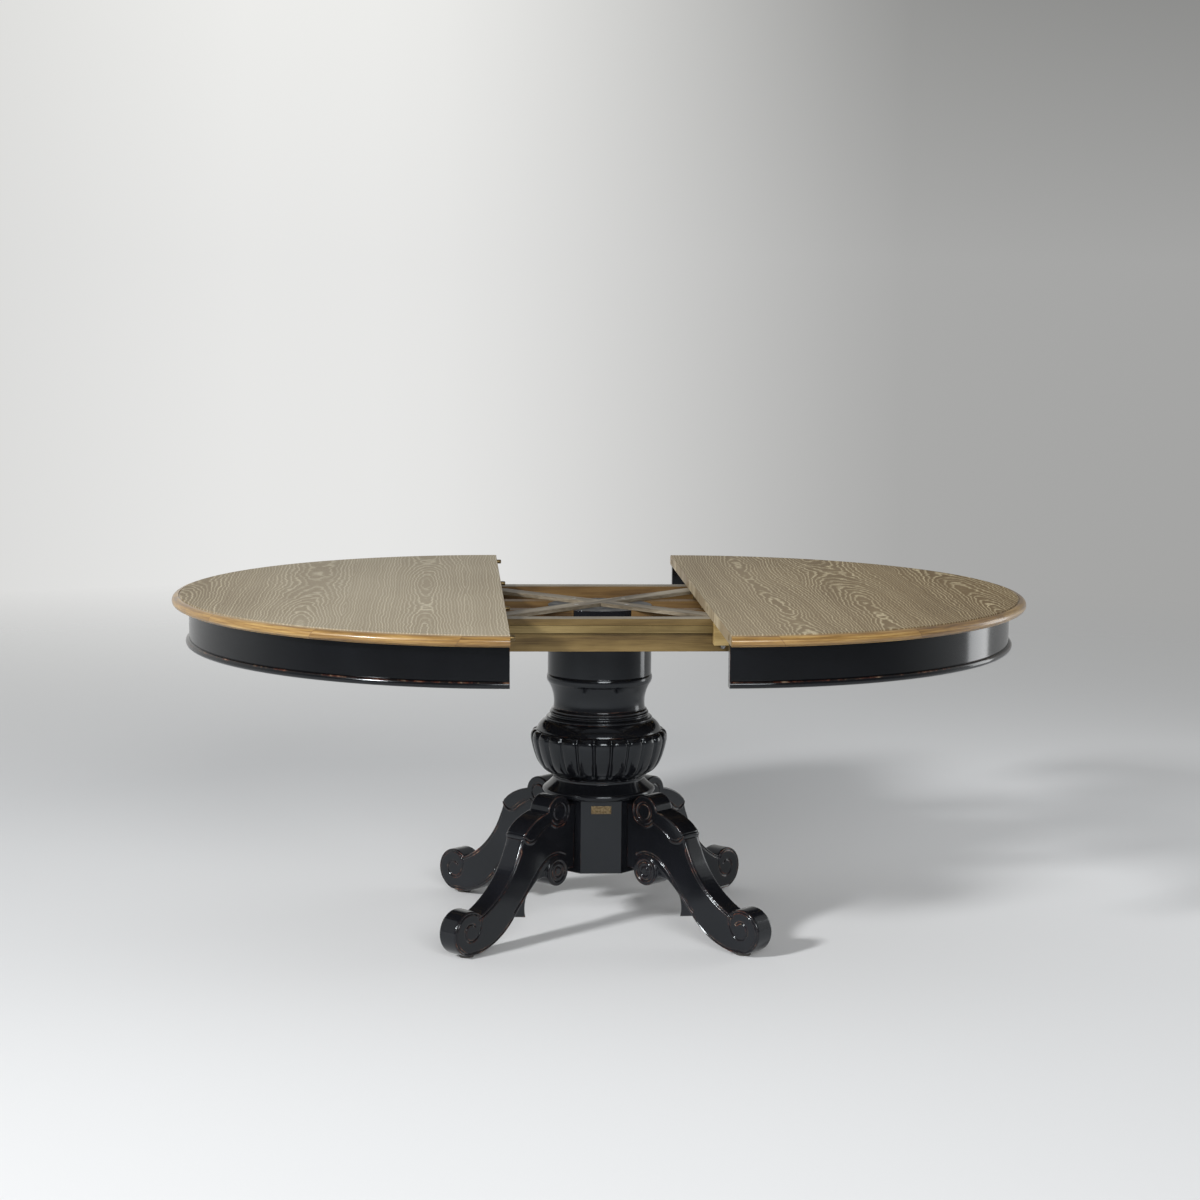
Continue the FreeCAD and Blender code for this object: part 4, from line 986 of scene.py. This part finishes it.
# %% Lay the floor
FLOOR_RADIUS = 7.0
floor_mesh = bpy.data.meshes.new("floor")
work = bmesh.new()
bmesh.ops.create_circle(work, cap_ends=True, radius=FLOOR_RADIUS, segments=96)
work.to_mesh(floor_mesh)
work.free()
floor = bpy.data.objects.new("floor", floor_mesh)
bpy.context.scene.collection.objects.link(floor)
floor_finish, tree, shader, place = new_finish("pale_floor")
shader.inputs["Base Color"].default_value = (0.80, 0.81, 0.82, 1.0)
shader.inputs["Roughness"].default_value = 0.9
far = add(tree, "VectorMath", {0: place}, operation="LENGTH").outputs["Value"]
fade = ramp(tree, sum_of(tree, "MULTIPLY", far, 1 / FLOOR_RADIUS), [(0.3, 0.0), (0.95, 1.0)])
unseen = sum_of(tree, "MAXIMUM", fade, add(tree, "NewGeometry").outputs["Backfacing"])
clear = add(tree, "BsdfTransparent")
mixer = add(tree, "MixShader", {0: unseen, 1: shader.outputs[0], 2: clear.outputs[0]})
tree.links.new(mixer.outputs[0], tree.nodes["Material Output"].inputs["Surface"])
floor_mesh.materials.append(floor_finish)
print("floor across:", 2 * FLOOR_RADIUS)

# %% [markdown]
# ## The room
# Behind the table a broad beam of light lies on a pale wall, bright on the left and dim on the right,
# and the wall darkens upwards. On the camera's side the room is dark, as a studio is, so the lacquer
# stays black. The direction of a ray gives the turn about the table and the height up the wall.

# %% Paint the room
BRIGHT_WALL = [(0.0, (0.80, 0.80, 0.79, 1.0)), (0.12, (0.86, 0.86, 0.84, 1.0)),
               (0.3, (0.83, 0.83, 0.81, 1.0)), (0.8, (0.38, 0.385, 0.39, 1.0))]
DIM_WALL = [(0.0, (0.36, 0.36, 0.355, 1.0)), (0.1, (0.24, 0.24, 0.235, 1.0)),
            (0.3, (0.15, 0.15, 0.145, 1.0)), (0.8, (0.38, 0.385, 0.39, 1.0))]
CAMERA_SIDE = (0.18, 0.185, 0.19, 1.0)
BEAM = ((-40, 0.85), (-13, 0.6), (-5, 1.05), (0, 1.05), (5, 0.5), (10, 0.0), (32, 0.0), (60, 0.9))
world = bpy.data.worlds.new("room")
world.use_nodes = True
bpy.context.scene.world = world
tree = world.node_tree
ways = add(tree, "SeparateXYZ", {0: add(tree, "TexCoord").outputs["Generated"]})
bright_wall = ramp(tree, ways.outputs[2], BRIGHT_WALL)
dim_wall = ramp(tree, ways.outputs[2], DIM_WALL)
turn = sum_of(tree, "ARCTAN2", ways.outputs[0], ways.outputs[1])
turn = sum_of(tree, "MULTIPLY_ADD", turn, 0.5 / math.pi, 0.5)
beam = ramp(tree, turn, [(0.5 + degrees / 360, level) for degrees, level in BEAM], "B_SPLINE")
away = sum_of(tree, "MULTIPLY_ADD", ways.outputs[1], 0.5, 0.5)
behind = ramp(tree, away, [(0.3, 0.0), (0.62, 1.0)])
room = blend(tree, behind, CAMERA_SIDE, blend(tree, beam, dim_wall, bright_wall))
tree.links.new(room, tree.nodes["Background"].inputs["Color"])
print("room nodes:", len(tree.nodes))

# %% [markdown]
# ## The lamps
# A lamp at the front left throws the shadow to the right and back. A broad soft one in front lights
# the rails and the base, and a tall strip on the right draws upright gloss on the lacquer. Together
# they give about the light at which a colour shows as it is written. The two strong lamps have a
# narrow fan, so that the floor close to them doesn't go white.


# %% Hang the lamps
def soft_lamp(name, place, target, width, height, power, fan):
    """A flat lamp aimed at a target. The fan is the angle its light spreads over, in degrees."""
    data = bpy.data.lights.new(name, "AREA")
    data.shape = "RECTANGLE"
    data.size = width
    data.size_y = height
    data.energy = power
    data.spread = math.radians(fan)
    lamp = bpy.data.objects.new(name, data)
    aim = (Vector(target) - Vector(place)).to_track_quat("-Z", "Y")
    lamp.matrix_world = Matrix.Translation(place) @ aim.to_matrix().to_4x4()
    bpy.context.scene.collection.objects.link(lamp)
    print(name, "watts:", power, "fan:", fan)


soft_lamp("key_lamp", (-5.6, -4.9, 4.1), (0.0, 0.0, 0.5), width=0.9, height=0.9, power=130.0, fan=90.0)
soft_lamp("strip_lamp", (3.4, 1.0, 0.9), (0.8, -0.3, 0.6), width=0.9, height=1.8, power=16.0, fan=180.0)
soft_lamp("front_lamp", (1.1, -7.4, 3.3), (0.4, 0.0, 0.0), width=3.6, height=2.0, power=74.0, fan=90.0)
